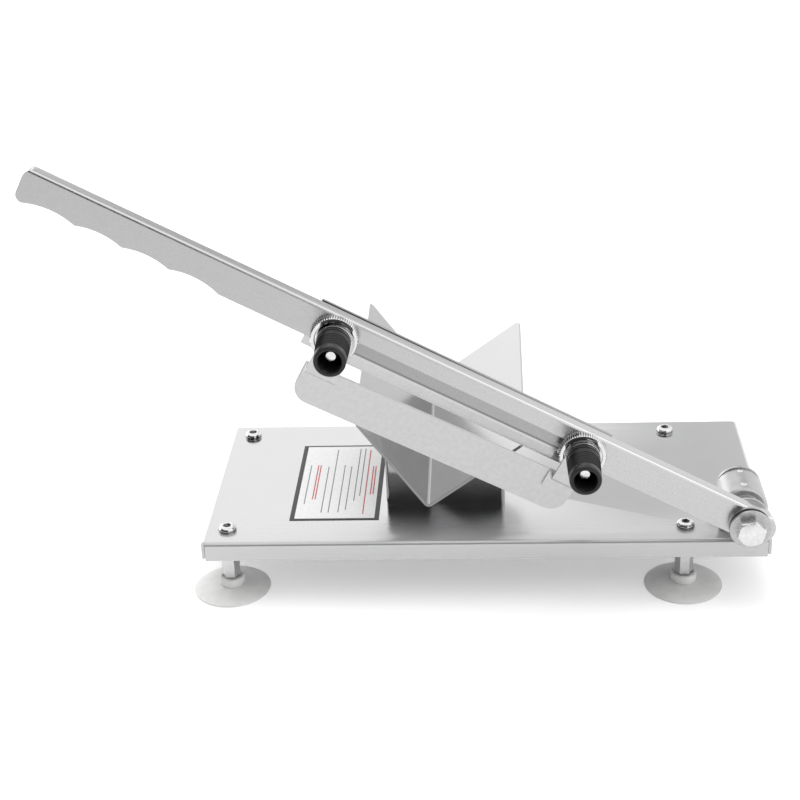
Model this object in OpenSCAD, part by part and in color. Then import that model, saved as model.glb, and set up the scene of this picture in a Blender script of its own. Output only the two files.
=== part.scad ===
// Manual meat slicer. A folded steel tray on four suction feet carries a tilted V trough.
// A hand lever turns on a pivot at the right and shears its blade past the trough's near end.
// A gauge plate in front of the blade sets the slice, on two studs with a disc and a knob each.
// Millimetres, +Z up. The lever is at the front, which is -Y, and its grip points to -X.
// The origin is on the floor, under the middle of the whole slicer.

/* [Tray] */
// Length of the tray from left to right
tray_length = 300; // [285:1:320]
// Depth of the tray from front to back
tray_depth = 138; // [132:1:150]
// Height of the tray's top face above the floor
tray_height = 35.6; // [32:0.2:44]
// Height of the folded edges of the tray
lip_height = 10.5; // [8:0.5:14]
// Thickness of the folded sheet of the tray, the trough, the lever and the gauge
sheet = 1.5; // [1.2:0.1:1.6]
// Outer radius of the tray's folds
fold_radius = 2.2; // [2:0.1:3]

/* [Feet] */
// Distance of the left feet from the tray's left edge
foot_left_inset = 12.8; // [12:0.2:20]
// Distance of the right feet from the tray's right edge
foot_right_inset = 43.6; // [40:0.2:60]
// Distance of the feet from the tray's front and back edges
foot_edge_inset = 14.1; // [12:0.1:18]
// Width across the flats of a foot's hex post
post_flats = 8.6; // [8.2:0.1:9]
// Height of a post's lower end above the floor
post_bottom = 7.3; // [7:0.1:8]
// Radius of a suction cup
cup_radius = 20.8; // [18:0.2:24]
// Height of a cup's thin outer edge
cup_edge = 0.9; // [0.8:0.1:1.2]
// Height of a cup's dish at its collar
cup_crown = 3; // [2.6:0.1:3.4]
// Height of the hollow under a cup
cup_hollow = 1.6; // [1.2:0.1:1.8]
// Radius of a cup's collar
collar_radius = 6.8; // [6.4:0.1:8]
// Height of the collar's top above the floor
collar_top = 8; // [8:0.1:9]
// Depth of the groove round the foot of the collar
collar_groove = 0.6; // [0.4:0.1:0.8]

/* [Trough] */
// Place of the trough's fold along the tray, from the tray's middle
trough_place = -28.7; // [-34:0.1:-24]
// Height of the trough's fold above the tray at its near end
trough_rise = 18.4; // [17:0.1:22]
// Angle of the trough's left side above the level, in degrees
left_slope = 54.2; // [51:0.1:57]
// Width of the trough's left side from its fold to its edge
left_side = 61.4; // [58:0.2:66]
// Width of the trough's right side from its fold to its edge
right_side = 62; // [58:0.2:66]
// Upward tilt of the trough towards the back, in degrees
trough_tilt = 4.6; // [3.6:0.1:5.6]
// Length of the trough from front to back
trough_length = 133.9; // [126:0.1:136]
// Outer radius of the trough's fold
trough_fold_radius = 3; // [2.4:0.1:4]
// Radius of the trough's upper corners
trough_corner = 4; // [2:0.5:6]

/* [Stand] */
// Width of the stand under the trough
stand_width = 64.5; // [60:0.5:68]
// Depth of the stand from front to back
stand_depth = 78; // [70:1:84]
// Distance of the stand's front behind the trough's near end
stand_setback = 32.4; // [28:0.1:36]
// Distance of the trough's fold from the stand's left side
stand_left_share = 0.375; // [0.36:0.005:0.4]
// Thickness of the stand's walls
stand_sheet = 1.2; // [1:0.1:1.5]
// Outer radius of the stand's upright folds
stand_corner = 2; // [1.6:0.1:3]

/* [Lever] */
// Angle of the lever above the level, in degrees
lever_angle = 28.4; // [24:0.2:34]
// Distance from the pivot to the lever's grip end
lever_reach = 399.6; // [385:0.2:420]
// Distance from the pivot to the lever's other end
lever_tail = 14.5; // [13:0.1:16]
// Height of the lever's channel section
lever_section = 17.5; // [17:0.1:18]
// Width of the lever's channel section
lever_width = 8; // [7.6:0.1:8.4]
// Distance of the lever's front face in front of the tray
lever_overhang = 8.4; // [8.4:0.1:9]
// Outer radius of the lever's long folds
lever_fold_radius = 2; // [1.8:0.1:2.4]
// Radius of the upper corner at the grip end
tip_upper_radius = 5; // [4:0.5:6]
// Radius of the lower corner at the grip end
tip_lower_radius = 4; // [3:0.5:5]
// Number of finger hollows in the grip
hollow_count = 4; // [3:1:4]
// Distance between the finger hollows
hollow_pitch = 24.5; // [24:0.1:25]
// Distance from the last hollow's outer end to the lever's tip
hollow_margin = 6.5; // [6:0.1:9]
// Depth of a finger hollow at its middle
hollow_depth = 2.85; // [2.4:0.05:3.2]
// Depth left at the crests between the hollows
crest_depth = 0.85; // [0.6:0.05:1]
// Distance from the inner stud to the start of the front wall's cutaway
cutaway_inner_margin = 11.3; // [10:0.1:14]
// Distance from the end of the front wall's cutaway to the outer stud
cutaway_outer_margin = 12.1; // [10:0.1:14]
// Distance of the cutaway's upper edge under the lever's middle line
cutaway_drop = 0.4; // [0:0.1:1]

/* [Blade] */
// Distance from the pivot to the blade's inner end
blade_start = 84; // [82:0.5:86]
// Length of the blade
blade_length = 162; // [158:1:170]
// Depth of the blade from its upper edge to its cutting edge
blade_depth = 26.55; // [26:0.05:28]
// Thickness of the blade
blade_thickness = 2; // [1.8:0.1:2.4]
// Width of the ground bevel
bevel_width = 6; // [5:0.5:7]
// Thickness left at the cutting edge
edge_thickness = 0.3; // [0.2:0.05:0.5]
// Clear distance between the blade and the trough's near end
blade_gap = 5; // [4.6:0.1:6]

/* [Pivot] */
// Distance of the pivot from the tray's right edge
pivot_inset = 14.4; // [14:0.1:18]
// Height of the pivot above the tray
pivot_rise = 13.8; // [13.6:0.1:14.6]
// Radius of the pivot block's round top
block_radius = 12.5; // [12.5:0.1:13]
// Length of the pivot block from front to back
block_length = 22.3; // [20:0.1:24]
// Width of the chamfer round the block's near end
block_chamfer = 1.2; // [0.8:0.1:1.6]
// Outer radius of the washers on the lever
pivot_washer_radius = 10.5; // [10:0.1:11]
// Thickness of the washers on the lever
pivot_washer_thickness = 1.6; // [1.4:0.1:1.8]
// Outer radius of the washer behind the block
far_washer_radius = 12; // [11:0.1:12]
// Thickness of the washer behind the block
far_washer_thickness = 2; // [1.6:0.1:2.4]
// Outer radius of the spring washer
spring_radius = 7; // [6.8:0.1:7.4]
// Thickness of the spring washer
spring_thickness = 2.2; // [2:0.1:2.4]
// Width of the spring washer's split
spring_split = 1.2; // [1:0.1:1.6]
// Thickness of the thin washer before the block
spacer_thickness = 1; // [0.8:0.1:1.2]
// Length of the bolt's end behind the lock nut
bolt_spare = 2; // [1:0.1:4]
// Outer radius of the bush inside the lever
bush_radius = 6; // [5.6:0.1:6.6]

/* [Gauge] */
// Distance from the blade's inner end to the inner stud
stud_inner_margin = 11.2; // [11:0.1:13]
// Distance from the outer stud to the blade's outer end
stud_outer_margin = 12.9; // [12:0.1:14]
// Distance of the studs under the lever's middle line
stud_drop = 3; // [3:0.1:3.2]
// Radius of a knurled disc
disc_radius = 12; // [11:0.1:13]
// Thickness of a knurled disc
disc_thickness = 4.6; // [4.4:0.1:5]
// Number of teeth round a knurled disc
knurl_count = 60; // [48:1:72]
// Depth of a disc's knurl
knurl_depth = 0.45; // [0.3:0.05:0.5]
// Width of a bracket
bracket_width = 16.4; // [16:0.1:17]
// Distance from a stud down to a bracket's shelf
bracket_drop = 18.5; // [18:0.1:19]
// Depth of a bracket's lower flange with its fold
flange_depth = 12.1; // [11:0.1:13]
// Outer radius of a bracket's folds
bracket_fold_radius = 2; // [1.8:0.1:2.4]
// Distance by which the outer bracket is set in from its stud, towards the pivot
bracket_shift = 2.2; // [1.6:0.1:2.4]
// Radius of the lower corners of a bracket's flange
flange_corner = 2; // [1:0.5:3]
// Clear distance between the gauge plate and the tray's front
gauge_gap = 0.5; // [0.4:0.1:1]
// Distance from the gauge plate's inner end to the inner stud
gauge_inner_margin = 8.2; // [8.2:0.1:11]
// Distance from the outer stud to the gauge plate's outer end
gauge_outer_margin = 6.4; // [6:0.1:8]
// Distance of the gauge plate's upper edge under the lever's middle line, at its inner end
gauge_top = 21; // [20.6:0.1:21.6]
// Distance by which the gauge plate hangs lower at its outer end
gauge_fall = 3.4; // [2.4:0.1:4]
// Depth of the gauge plate at its outer end
gauge_outer_depth = 21.3; // [20.6:0.1:23]
// Depth of the gauge plate at its inner end
gauge_inner_depth = 21.7; // [20.6:0.1:23]
// Radius of the gauge plate's lower corners
gauge_corner = 9; // [7:0.5:9]
// Outer radius of the washer under a knob
knob_washer_radius = 9; // [8.6:0.1:9.6]
// Thickness of the washer under a knob
knob_washer_thickness = 1.2; // [1:0.1:1.4]

/* [Knobs] */
// Length of a knob
knob_length = 22.8; // [21:0.2:24]
// Radius of a knob at its base
knob_base_radius = 8.55; // [8.4:0.05:9]
// Radius of a knob at its outer end
knob_end_radius = 7.9; // [7.8:0.05:8.2]
// Radius of the recess in a knob
knob_recess_radius = 5.8; // [5.4:0.1:6]
// Length of a knob's threaded base
knob_thread_length = 6; // [5:0.5:7]
// Number of fine grooves round a knob
ring_count = 6; // [4:1:7]
// Width of the fine grooves
ring_width = 0.5; // [0.4:0.05:0.6]
// Depth of the fine grooves
ring_depth = 0.3; // [0.2:0.05:0.4]
// Distance from the knob's end to the stud's end
stud_setback = 7; // [6:0.1:8]
// Shares of a knob's length at which its base band, its neck and its fine grooves start or end
base_band_share = 0.1; // [0.08:0.01:0.12]
base_groove_share = 0.14; // [0.13:0.01:0.16]
ring_start_share = 0.36; // [0.3:0.01:0.4]
ring_end_share = 0.66; // [0.6:0.01:0.7]

/* [Panel] */
// Length of the bordered panel from front to back
panel_length = 86.5; // [80:0.5:88]
// Width of the bordered panel
panel_width = 48.5; // [42:0.5:48.5]
// Thickness of the bordered panel
panel_thickness = 0.3; // [0.2:0.05:0.4]
// Clear distance between the panel and the trough's stand
panel_gap = 3.6; // [3:0.1:12]
// Distance of the panel's middle in front of the tray's middle
panel_forward = 1.8; // [0:0.1:4]

/* [Fasteners] */
// Radius of the foot screws, the studs and the posts' lower ends
small_thread_radius = 3; // [2.9:0.05:3]
// Width across the flats of the heads and nuts on the studs
small_flats = 10; // [9.8:0.1:10]
// Height of a stud's hex head
small_head = 4; // [3.8:0.1:4.2]
// Radius of the pivot bolt
large_thread_radius = 4; // [3.9:0.05:4]
// Width across the flats of the pivot bolt's head and nuts
large_flats = 13; // [12.6:0.1:13.4]
// Height of the pivot bolt's head
large_head = 5.3; // [5:0.1:5.6]
// Height of the jam nut
jam_nut_height = 6.5; // [6.2:0.1:6.8]
// Height of the lock nut
lock_nut_height = 8; // [7.6:0.1:8.6]
// Height of the lock nut's round collar
lock_nut_collar = 1.8; // [1.4:0.1:2]
// Radius of a foot screw's head
screw_head_radius = 4.8; // [4.6:0.1:5.2]
// Height of a foot screw's head
screw_head_height = 3.4; // [3.2:0.1:3.6]
// Height of the upright band round a foot screw's head
screw_head_band = 0.9; // [0.7:0.1:1.2]
// Radius of the flat on top of a foot screw's head
screw_head_flat = 2.7; // [2.6:0.1:2.8]
// Width across the flats of a foot screw's socket
socket_flats = 4; // [3.6:0.1:4]
// Depth of a foot screw's socket
socket_depth = 2.2; // [2:0.1:2.4]
// Length of a foot screw under its head
screw_length = 12; // [10:0.5:14]
// Width of the chamfers at thread ends
thread_chamfer = 0.6; // [0.4:0.1:0.8]
// Radial clearance of threads and shafts in their bores
shaft_fit = 0.05; // [0.03:0.01:0.08]
// Radial clearance of the studs in the brackets and washers that slide on them
slide_clearance = 0.3; // [0.3:0.05:0.4]
// Clear distance between the lever and the discs
running_gap = 0.1; // [0.05:0.05:0.2]

/* [Hidden] */
$fn = 48;
// Length by which every cut runs past the face it opens
overrun = sheet * 0.8;
// Steps in a rounded corner and in a curved outline
corner_steps = 6;
curve_steps = 8;
// Corner radius of a hexagon for one unit across its flats
hex_share = 1 / (2 * cos(30));

// Places measured from the middle of the tray's top face
tray_front = -tray_depth / 2;
foot_left = -tray_length / 2 + foot_left_inset;
foot_right = tray_length / 2 - foot_right_inset;
foot_back = tray_depth / 2 - foot_edge_inset;
foot_places = [
  [foot_left, -foot_back],
  [foot_right, -foot_back],
  [foot_left, foot_back],
  [foot_right, foot_back]
];
pivot_place = tray_length / 2 - pivot_inset;
lever_front = tray_front - lever_overhang;
lever_back = lever_front + lever_width;
blade_back = lever_back + blade_thickness;
trough_near = blade_back + blade_gap;
trough_far = trough_near + trough_length;
stand_front = trough_near + stand_setback;
stand_left = trough_place - stand_width * stand_left_share;
right_slope = 90 - left_slope;

// Faces of the pieces stacked on the pivot bolt, from the front to the back
arm_washer_front = lever_front - pivot_washer_thickness;
spring_front = arm_washer_front - spring_thickness;
front_washer_front = spring_front - pivot_washer_thickness;
bolt_head_front = front_washer_front - large_head;
jam_nut_front = lever_back + pivot_washer_thickness;
spacer_front = jam_nut_front + jam_nut_height;
block_front = spacer_front + spacer_thickness;
far_washer_front = block_front + block_length;
lock_nut_front = far_washer_front + far_washer_thickness;
bolt_end = lock_nut_front + lock_nut_height + bolt_spare;

// Faces of the pieces stacked on the studs, from the back to the front
disc_back = lever_front - running_gap;
tab_back = disc_back - disc_thickness;
tab_front = tab_back - sheet;
knob_back = tab_front - knob_washer_thickness;
knob_front = knob_back - knob_length;
stud_front = knob_front + stud_setback;
gauge_back = tray_front - gauge_gap;
gauge_front = gauge_back - sheet;
flange_front = gauge_front - sheet;
stud_places = [blade_start + stud_inner_margin, blade_start + blade_length - stud_outer_margin];
cutaway_start = stud_places[0] + cutaway_inner_margin;
cutaway_length = stud_places[1] - cutaway_outer_margin - cutaway_start;
gauge_start = stud_places[0] - gauge_inner_margin;
gauge_length = stud_places[1] + gauge_outer_margin - gauge_start;
half_section = lever_section / 2;
channel_gap = lever_width - 2 * sheet;
tail_round = lever_tail - half_section;

// Radius of the finger hollows, from their depths and their pitch
hollow_sag = hollow_depth - crest_depth;
hollow_radius = (hollow_pitch * hollow_pitch / 4 + hollow_sag * hollow_sag) / (2 * hollow_sag);

// Extents of the whole slicer, which put the origin under its middle
tip_left = pivot_place - (lever_reach - tip_lower_radius) * cos(lever_angle)
  - (half_section - tip_lower_radius) * sin(lever_angle) - tip_lower_radius;
back_end = max(tray_depth / 2, trough_far, foot_back + cup_radius);
shift_x = -(tip_left + tray_length / 2) / 2;
shift_y = -(knob_front + back_end) / 2;

// Post and cup details that follow from the values above
post_stud_bottom = post_bottom - small_thread_radius;
collar_neck = collar_radius - collar_groove;
cup_rim_inner = cup_radius - cup_crown * 1.1;
cup_rim_outer = cup_radius - cup_edge * 0.6;

// Direction of a vector
function direction(v) = v / norm(v);

// Points of the arc that rounds the corner at a point between its two neighbours
function corner(before, at, after, radius) =
  radius <= 0
  ? [at]
  : let (
      u = direction(before - at),
      w = direction(after - at),
      half = acos(u * w) / 2,
      centre = at + direction(u + w) * (radius / sin(half)),
      first = at + u * (radius / tan(half)) - centre,
      last = at + w * (radius / tan(half)) - centre,
      start = atan2(first.y, first.x),
      sweep = atan2(last.y, last.x) - start,
      turn = sweep > 180 ? sweep - 360 : sweep < -180 ? sweep + 360 : sweep
    )
    [
      for (i = [0 : corner_steps])
        centre + radius * [cos(start + turn * i / corner_steps), sin(start + turn * i / corner_steps)]
    ];

// A closed outline with each of its corners rounded by its own radius
function rounded(points, radii) =
  let (count = len(points))
  [
    for (i = [0 : count - 1])
      each corner(points[(i + count - 1) % count], points[i], points[(i + 1) % count], radii[i])
  ];

// Place along the trough's own length at which its side meets an upright plane across the tray
function end_place(distance, up, slope) =
  (distance + up * sin(slope) * sin(trough_tilt)) / cos(trough_tilt);

// Radius of a knob's skin at a height above its base
function knob_skin(height) =
  knob_base_radius + (knob_end_radius - knob_base_radius) * height / knob_length;

// Moves children from the middle of the tray's top face to the slicer's own frame
module on_tray() {
  translate([shift_x, shift_y, tray_height]) children();
}

// Moves children from the pivot, with the lever lying level along -X, to the slicer's frame
module on_lever() {
  on_tray()
    translate([pivot_place, 0, pivot_rise])
      rotate([0, lever_angle, 0])
        children();
}

// Extrudes an outline drawn across the slicer, from a front face towards the back
module plate(front, thickness) {
  translate([0, front + thickness, 0])
    rotate([90, 0, 0])
      linear_extrude(thickness)
        children();
}

// A round rod from a front face towards the back
module rod(front, length, radius) {
  translate([0, front, 0])
    rotate([-90, 0, 0])
      cylinder(r = radius, h = length);
}

// A hexagon of a width across its flats, with a hole where the hole has a radius
module hexagon(flats, turn, hole) {
  difference() {
    rotate(turn) circle(r = flats * hex_share, $fn = 6);
    if (hole > 0)
      circle(r = hole);
  }
}

// A hexagonal head whose chamfered face looks to the front (side 1) or to the back (side -1)
module hex_head(face, length, flats, turn, side, hole) {
  reach = flats * hex_share + thread_chamfer;
  rise = (reach - flats / 2) * tan(30);
  translate([0, face, 0])
    rotate(side < 0 ? 180 : 0)
      intersection() {
        plate(0, length) hexagon(flats, turn, hole);
        union() {
          rotate([-90, 0, 0]) cylinder(r1 = flats / 2, r2 = reach, h = rise);
          rod(rise, length, reach);
        }
      }
}

// A shaft between two faces with its ends chamfered
module shank(front, back, radius) {
  narrow = radius - thread_chamfer;
  rod(front + thread_chamfer, back - front - 2 * thread_chamfer, radius);
  translate([0, front, 0])
    rotate([-90, 0, 0])
      cylinder(r1 = narrow, r2 = radius, h = thread_chamfer);
  translate([0, back, 0])
    rotate([90, 0, 0])
      cylinder(r1 = narrow, r2 = radius, h = thread_chamfer);
}

// A flat ring from a front face towards the back
module ring(front, thickness, outer, inner) {
  plate(front, thickness)
    difference() {
      circle(r = outer);
      circle(r = inner);
    }
}

// Section of a folded tray, upright edges down, with its top face on the level line
module fold_section(width, height, radius) {
  inner = radius - sheet;
  difference() {
    fold_outline(width, height, radius);
    translate([0, -sheet])
      fold_outline(width - 2 * sheet, height, inner);
  }
}

// Outline of a block with two rounded upper corners
module fold_outline(width, height, radius) {
  translate([-width / 2, -height]) square([width, height - radius]);
  translate([radius - width / 2, -height]) square([width - 2 * radius, height]);
  for (side = [-1, 1])
    translate([side * (width / 2 - radius), -radius]) circle(r = radius);
}

module base_plate() {
  color("gainsboro")
    on_tray()
      difference() {
        union() {
          rotate([90, 0, 90])
            linear_extrude(tray_length - 2 * fold_radius, center = true)
              fold_section(tray_depth, lip_height, fold_radius);
          rotate([90, 0, 0])
            linear_extrude(tray_depth - 2 * fold_radius, center = true)
              fold_section(tray_length, lip_height, fold_radius);
        }
        for (place = foot_places)
          translate([place.x, place.y, -sheet - overrun])
            cylinder(r = small_thread_radius + shaft_fit, h = sheet + 2 * overrun);
      }
}

module foot_screws() {
  color("silver")
    on_tray()
      for (place = foot_places)
        translate([place.x, place.y, 0])
          foot_screw();
}

// One domed socket screw with the underside of its head on the level plane
module foot_screw() {
  dome = [
    for (i = [0 : curve_steps])
      [
        screw_head_flat + (screw_head_radius - screw_head_flat) * cos(90 * i / curve_steps),
        screw_head_band + (screw_head_height - screw_head_band) * sin(90 * i / curve_steps)
      ]
  ];
  difference() {
    union() {
      rotate_extrude()
        polygon(concat([[0, 0], [screw_head_radius, 0]], dome, [[0, screw_head_height]]));
      translate([0, 0, -screw_length])
        cylinder(r = small_thread_radius, h = screw_length);
    }
    translate([0, 0, screw_head_height - socket_depth])
      cylinder(r = socket_flats * hex_share, h = socket_depth + overrun, $fn = 6);
  }
}

// One hexagonal post with its lower end in a cup and a screw's bore at its top
module foot_post(place) {
  post_top = tray_height - sheet;
  bore = screw_length - sheet + overrun;
  color("lightgray")
    translate([shift_x + place.x, shift_y + place.y, 0])
      difference() {
        union() {
          translate([0, 0, post_bottom])
            cylinder(r = post_flats * hex_share, h = post_top - post_bottom, $fn = 6);
          translate([0, 0, post_stud_bottom])
            cylinder(r = small_thread_radius, h = post_bottom - post_stud_bottom);
        }
        translate([0, 0, post_top - bore])
          cylinder(r = small_thread_radius + shaft_fit, h = bore + overrun);
      }
}

module foot_post_1() foot_post(foot_places[0]);
module foot_post_2() foot_post(foot_places[1]);
module foot_post_3() foot_post(foot_places[2]);
module foot_post_4() foot_post(foot_places[3]);

// One rubber suction cup with its rim on the floor and a collar for the post
module suction_cup(place) {
  hollow = [
    for (i = [0 : curve_steps])
      [cup_rim_inner * i / curve_steps, cup_hollow * (1 - pow(i / curve_steps, 2))]
  ];
  dish = [
    for (i = [0 : curve_steps])
      [
        cup_radius - (cup_radius - collar_neck) * i / curve_steps,
        cup_crown - (cup_crown - cup_edge) * pow(1 - i / curve_steps, 2)
      ]
  ];
  collar = [
    [collar_neck, cup_crown + collar_groove],
    [collar_radius, cup_crown + 2 * collar_groove],
    [collar_radius, collar_top - collar_groove],
    [collar_radius - collar_groove, collar_top],
    [0, collar_top]
  ];
  color("dimgray")
    translate([shift_x + place.x, shift_y + place.y, 0])
      difference() {
        rotate_extrude()
          polygon(concat(hollow, [[cup_rim_outer, 0]], dish, collar));
        translate([0, 0, post_bottom])
          cylinder(r = post_flats * hex_share + shaft_fit, h = collar_top - post_bottom + overrun);
        translate([0, 0, post_stud_bottom])
          cylinder(r = small_thread_radius + shaft_fit, h = collar_top - post_stud_bottom + overrun);
      }
}

module suction_cup_1() suction_cup(foot_places[0]);
module suction_cup_2() suction_cup(foot_places[1]);
module suction_cup_3() suction_cup(foot_places[2]);
module suction_cup_4() suction_cup(foot_places[3]);

// Moves children from the trough's fold at its near end to the slicer's own frame
module on_trough() {
  on_tray()
    translate([trough_place, trough_near, trough_rise])
      rotate([trough_tilt, 0, 0])
        children();
}

// Extrudes an outline along the trough, drawn with +X up its right side and +Y up its left side
module along_trough(front, length) {
  on_trough()
    plate(front, length)
      rotate(right_slope)
        children();
}

// What the rounding of one corner takes away. It starts a little outside the corner's two edges,
// because the trough's ends are cut upright and so lean against the thickness of its sides.
function corner_waste(before, at, after, radius) =
  let (
    u = direction(before - at),
    w = direction(after - at),
    out = -(u + w) * sheet * sin(trough_tilt),
    arc = corner(before + out, at + out, after + out, radius)
  )
  concat([arc[0] - w * overrun], arc, [arc[corner_steps] - u * overrun, at - (u + w) * overrun]);

// Cutters for the two upper corners of one side of the trough
module trough_corners(width, slope, heading) {
  low_near = [end_place(0, 0, slope), 0];
  low_far = [end_place(trough_length, 0, slope), 0];
  high_near = [end_place(0, width, slope), width];
  high_far = [end_place(trough_length, width, slope), width];
  on_trough()
    rotate([0, -heading, 0])
      rotate(a = 180, v = [1, 1, 0])
        linear_extrude(2 * (sheet + overrun), center = true) {
          polygon(corner_waste(low_near, high_near, high_far, trough_corner));
          polygon(corner_waste(high_near, high_far, low_far, trough_corner));
        }
}

module trough() {
  spare = left_side * sin(trough_tilt);
  section = [
    [right_side, 0],
    [0, 0],
    [0, left_side],
    [-sheet, left_side],
    [-sheet, -sheet],
    [right_side, -sheet]
  ];
  radii = [0, trough_fold_radius - sheet, 0, 0, trough_fold_radius, 0];
  color("whitesmoke")
    difference() {
      intersection() {
        along_trough(-spare, trough_length + 3 * spare) polygon(rounded(section, radii));
        on_tray()
          translate([-tray_length / 2, trough_near, 0])
            cube([tray_length, trough_length, tray_length]);
      }
      trough_corners(right_side, right_slope, right_slope);
      trough_corners(left_side, left_slope, 180 - left_slope);
    }
}

// Outline of the stand, drawn in by a distance on every side
module stand_outline(inset) {
  left = stand_left + inset;
  right = stand_left + stand_width - inset;
  front = stand_front + inset;
  back = stand_front + stand_depth - inset;
  radius = stand_corner - inset;
  polygon(
    rounded(
      [[left, front], [right, front], [right, back], [left, back]],
      [radius, radius, radius, radius]
    )
  );
}

module trough_stand() {
  color("silver")
    difference() {
      on_tray()
        linear_extrude(left_side)
          difference() {
            stand_outline(0);
            stand_outline(stand_sheet);
          }
      along_trough(0, trough_length)
        translate([-sheet, -sheet]) square(2 * right_side);
    }
}

module label_panel() {
  color("snow")
    on_tray()
      translate([stand_left - panel_gap - panel_width, -panel_forward - panel_length / 2, 0])
        cube([panel_width, panel_length, panel_thickness]);
}

// Moves children from the pivot, with everything upright, to the slicer's own frame
module on_pivot() {
  on_tray()
    translate([pivot_place, 0, pivot_rise])
      children();
}

module pivot_block() {
  narrow = block_radius - block_chamfer;
  color("lightgray")
    difference() {
      on_tray()
        translate([pivot_place, 0, block_radius]) {
          plate(block_front + block_chamfer, block_length - block_chamfer) {
            circle(r = block_radius);
            translate([-block_radius, -block_radius]) square([2 * block_radius, block_radius]);
          }
          translate([0, block_front, 0])
            rotate([-90, 0, 0])
              cylinder(r1 = narrow, r2 = block_radius, h = block_chamfer);
          translate([0, block_front, -block_radius])
            linear_extrude(block_radius)
              polygon([
                [-narrow, 0],
                [narrow, 0],
                [block_radius, block_chamfer],
                [-block_radius, block_chamfer]
              ]);
        }
      on_pivot()
        rod(block_front - overrun, block_length + 2 * overrun, large_thread_radius + shaft_fit);
    }
}

module pivot_bolt() {
  color("silver")
    on_pivot() {
      hex_head(bolt_head_front, large_head, large_flats, 15, 1, 0);
      shank(bolt_head_front + large_head / 2, bolt_end, large_thread_radius);
    }
}

module pivot_front_washer() pivot_washer(front_washer_front);
module pivot_arm_washer() pivot_washer(arm_washer_front);
module pivot_back_washer() pivot_washer(lever_back);

// One of the three equal washers on the lever
module pivot_washer(front) {
  color("silver")
    on_pivot()
      ring(front, pivot_washer_thickness, pivot_washer_radius, large_thread_radius + shaft_fit);
}

module pivot_spring_washer() {
  color("silver")
    on_pivot()
      difference() {
        ring(spring_front, spring_thickness, spring_radius, large_thread_radius + shaft_fit);
        translate([0, spring_front + spring_thickness / 2, spring_radius / 2])
          rotate(25)
            cube([spring_split, 2 * spring_thickness, spring_radius + overrun], center = true);
      }
}

module pivot_jam_nut() {
  color("silver")
    on_pivot()
      plate(jam_nut_front, jam_nut_height)
        hexagon(large_flats, 15, large_thread_radius + shaft_fit);
}

module pivot_spacer_washer() {
  color("silver")
    on_pivot()
      ring(spacer_front, spacer_thickness, large_thread_radius * 2, large_thread_radius + shaft_fit);
}

module pivot_far_washer() {
  color("silver")
    on_pivot()
      ring(
        far_washer_front, far_washer_thickness, far_washer_radius, large_thread_radius + shaft_fit
      );
}

module pivot_lock_nut() {
  hex_height = lock_nut_height - lock_nut_collar;
  bore = large_thread_radius + shaft_fit;
  color("silver")
    on_pivot() {
      hex_head(lock_nut_front + hex_height, hex_height, large_flats, 10, -1, bore);
      ring(lock_nut_front + hex_height, lock_nut_collar, large_flats / 2 - thread_chamfer, bore);
    }
}

// Outline of the lever from the side, drawn in by a distance at its top and ends
module lever_outline(inset) {
  half = half_section - inset;
  tip = inset - lever_reach;
  translate([tail_round, 0]) circle(r = half);
  polygon(
    rounded(
      [[tip, -half], [tail_round, -half], [tail_round, half], [tip, half]],
      [tip_lower_radius - inset, 0, 0, tip_upper_radius - inset]
    )
  );
}

module arm_channel() {
  hollows_start = lever_reach - hollow_margin - hollow_pitch / 2;
  wall_front = lever_front - overrun;
  across = lever_width + 2 * overrun;
  color("lightgray")
    on_lever()
      difference() {
        intersection() {
          plate(lever_front, lever_width) lever_outline(0);
          translate([-lever_reach - overrun, lever_front + lever_width / 2, half_section])
            rotate([90, 0, 90])
              linear_extrude(lever_reach + lever_tail + 2 * overrun)
                fold_outline(lever_width, lever_section + overrun, lever_fold_radius);
        }
        plate(lever_front + sheet, channel_gap) {
          lever_outline(sheet);
          translate([sheet - lever_reach, -half_section - overrun])
            square([lever_reach - sheet + tail_round, half_section]);
        }
        plate(wall_front, sheet + overrun)
          translate([-cutaway_start - cutaway_length, -half_section - overrun])
            square([cutaway_length, half_section + overrun - cutaway_drop]);
        for (i = [0 : hollow_count - 1])
          translate([
            i * hollow_pitch - hollows_start, 0, hollow_depth - half_section - hollow_radius
          ])
            rod(wall_front, across, hollow_radius, $fn = 180);
        rod(wall_front, across, large_thread_radius + shaft_fit);
        for (place = stud_places)
          translate([-place, 0, -stud_drop])
            rod(wall_front, across, small_thread_radius + shaft_fit);
      }
}

module pivot_bush() {
  color("silver")
    on_lever()
      ring(lever_front + sheet, channel_gap, bush_radius, large_thread_radius + shaft_fit);
}

module blade() {
  edge = half_section - blade_depth;
  color("silver")
    on_lever()
      difference() {
        translate([-blade_start - blade_length, 0, 0])
          rotate([90, 0, 90])
            linear_extrude(blade_length)
              polygon([
                [lever_back, half_section],
                [lever_back, edge + bevel_width],
                [blade_back - edge_thickness, edge],
                [blade_back, edge],
                [blade_back, half_section]
              ]);
        for (place = stud_places)
          translate([-place, 0, -stud_drop])
            rod(
              lever_back - overrun, blade_thickness + 2 * overrun, small_thread_radius + shaft_fit
            );
      }
}

// One stud, a hex bolt with its head behind the blade
module stud(place) {
  color("silver")
    on_lever()
      translate([-place, 0, -stud_drop]) {
        hex_head(blade_back + small_head, small_head, small_flats, 0, -1, 0);
        shank(stud_front, blade_back + small_head / 2, small_thread_radius);
      }
}

module stud_left() stud(stud_places[1]);
module stud_right() stud(stud_places[0]);

module stud_nuts() {
  color("silver")
    on_lever()
      for (place = stud_places)
        translate([-place, 0, -stud_drop])
          plate(lever_front + sheet, channel_gap)
            hexagon(small_flats, 0, small_thread_radius + shaft_fit);
}

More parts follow.
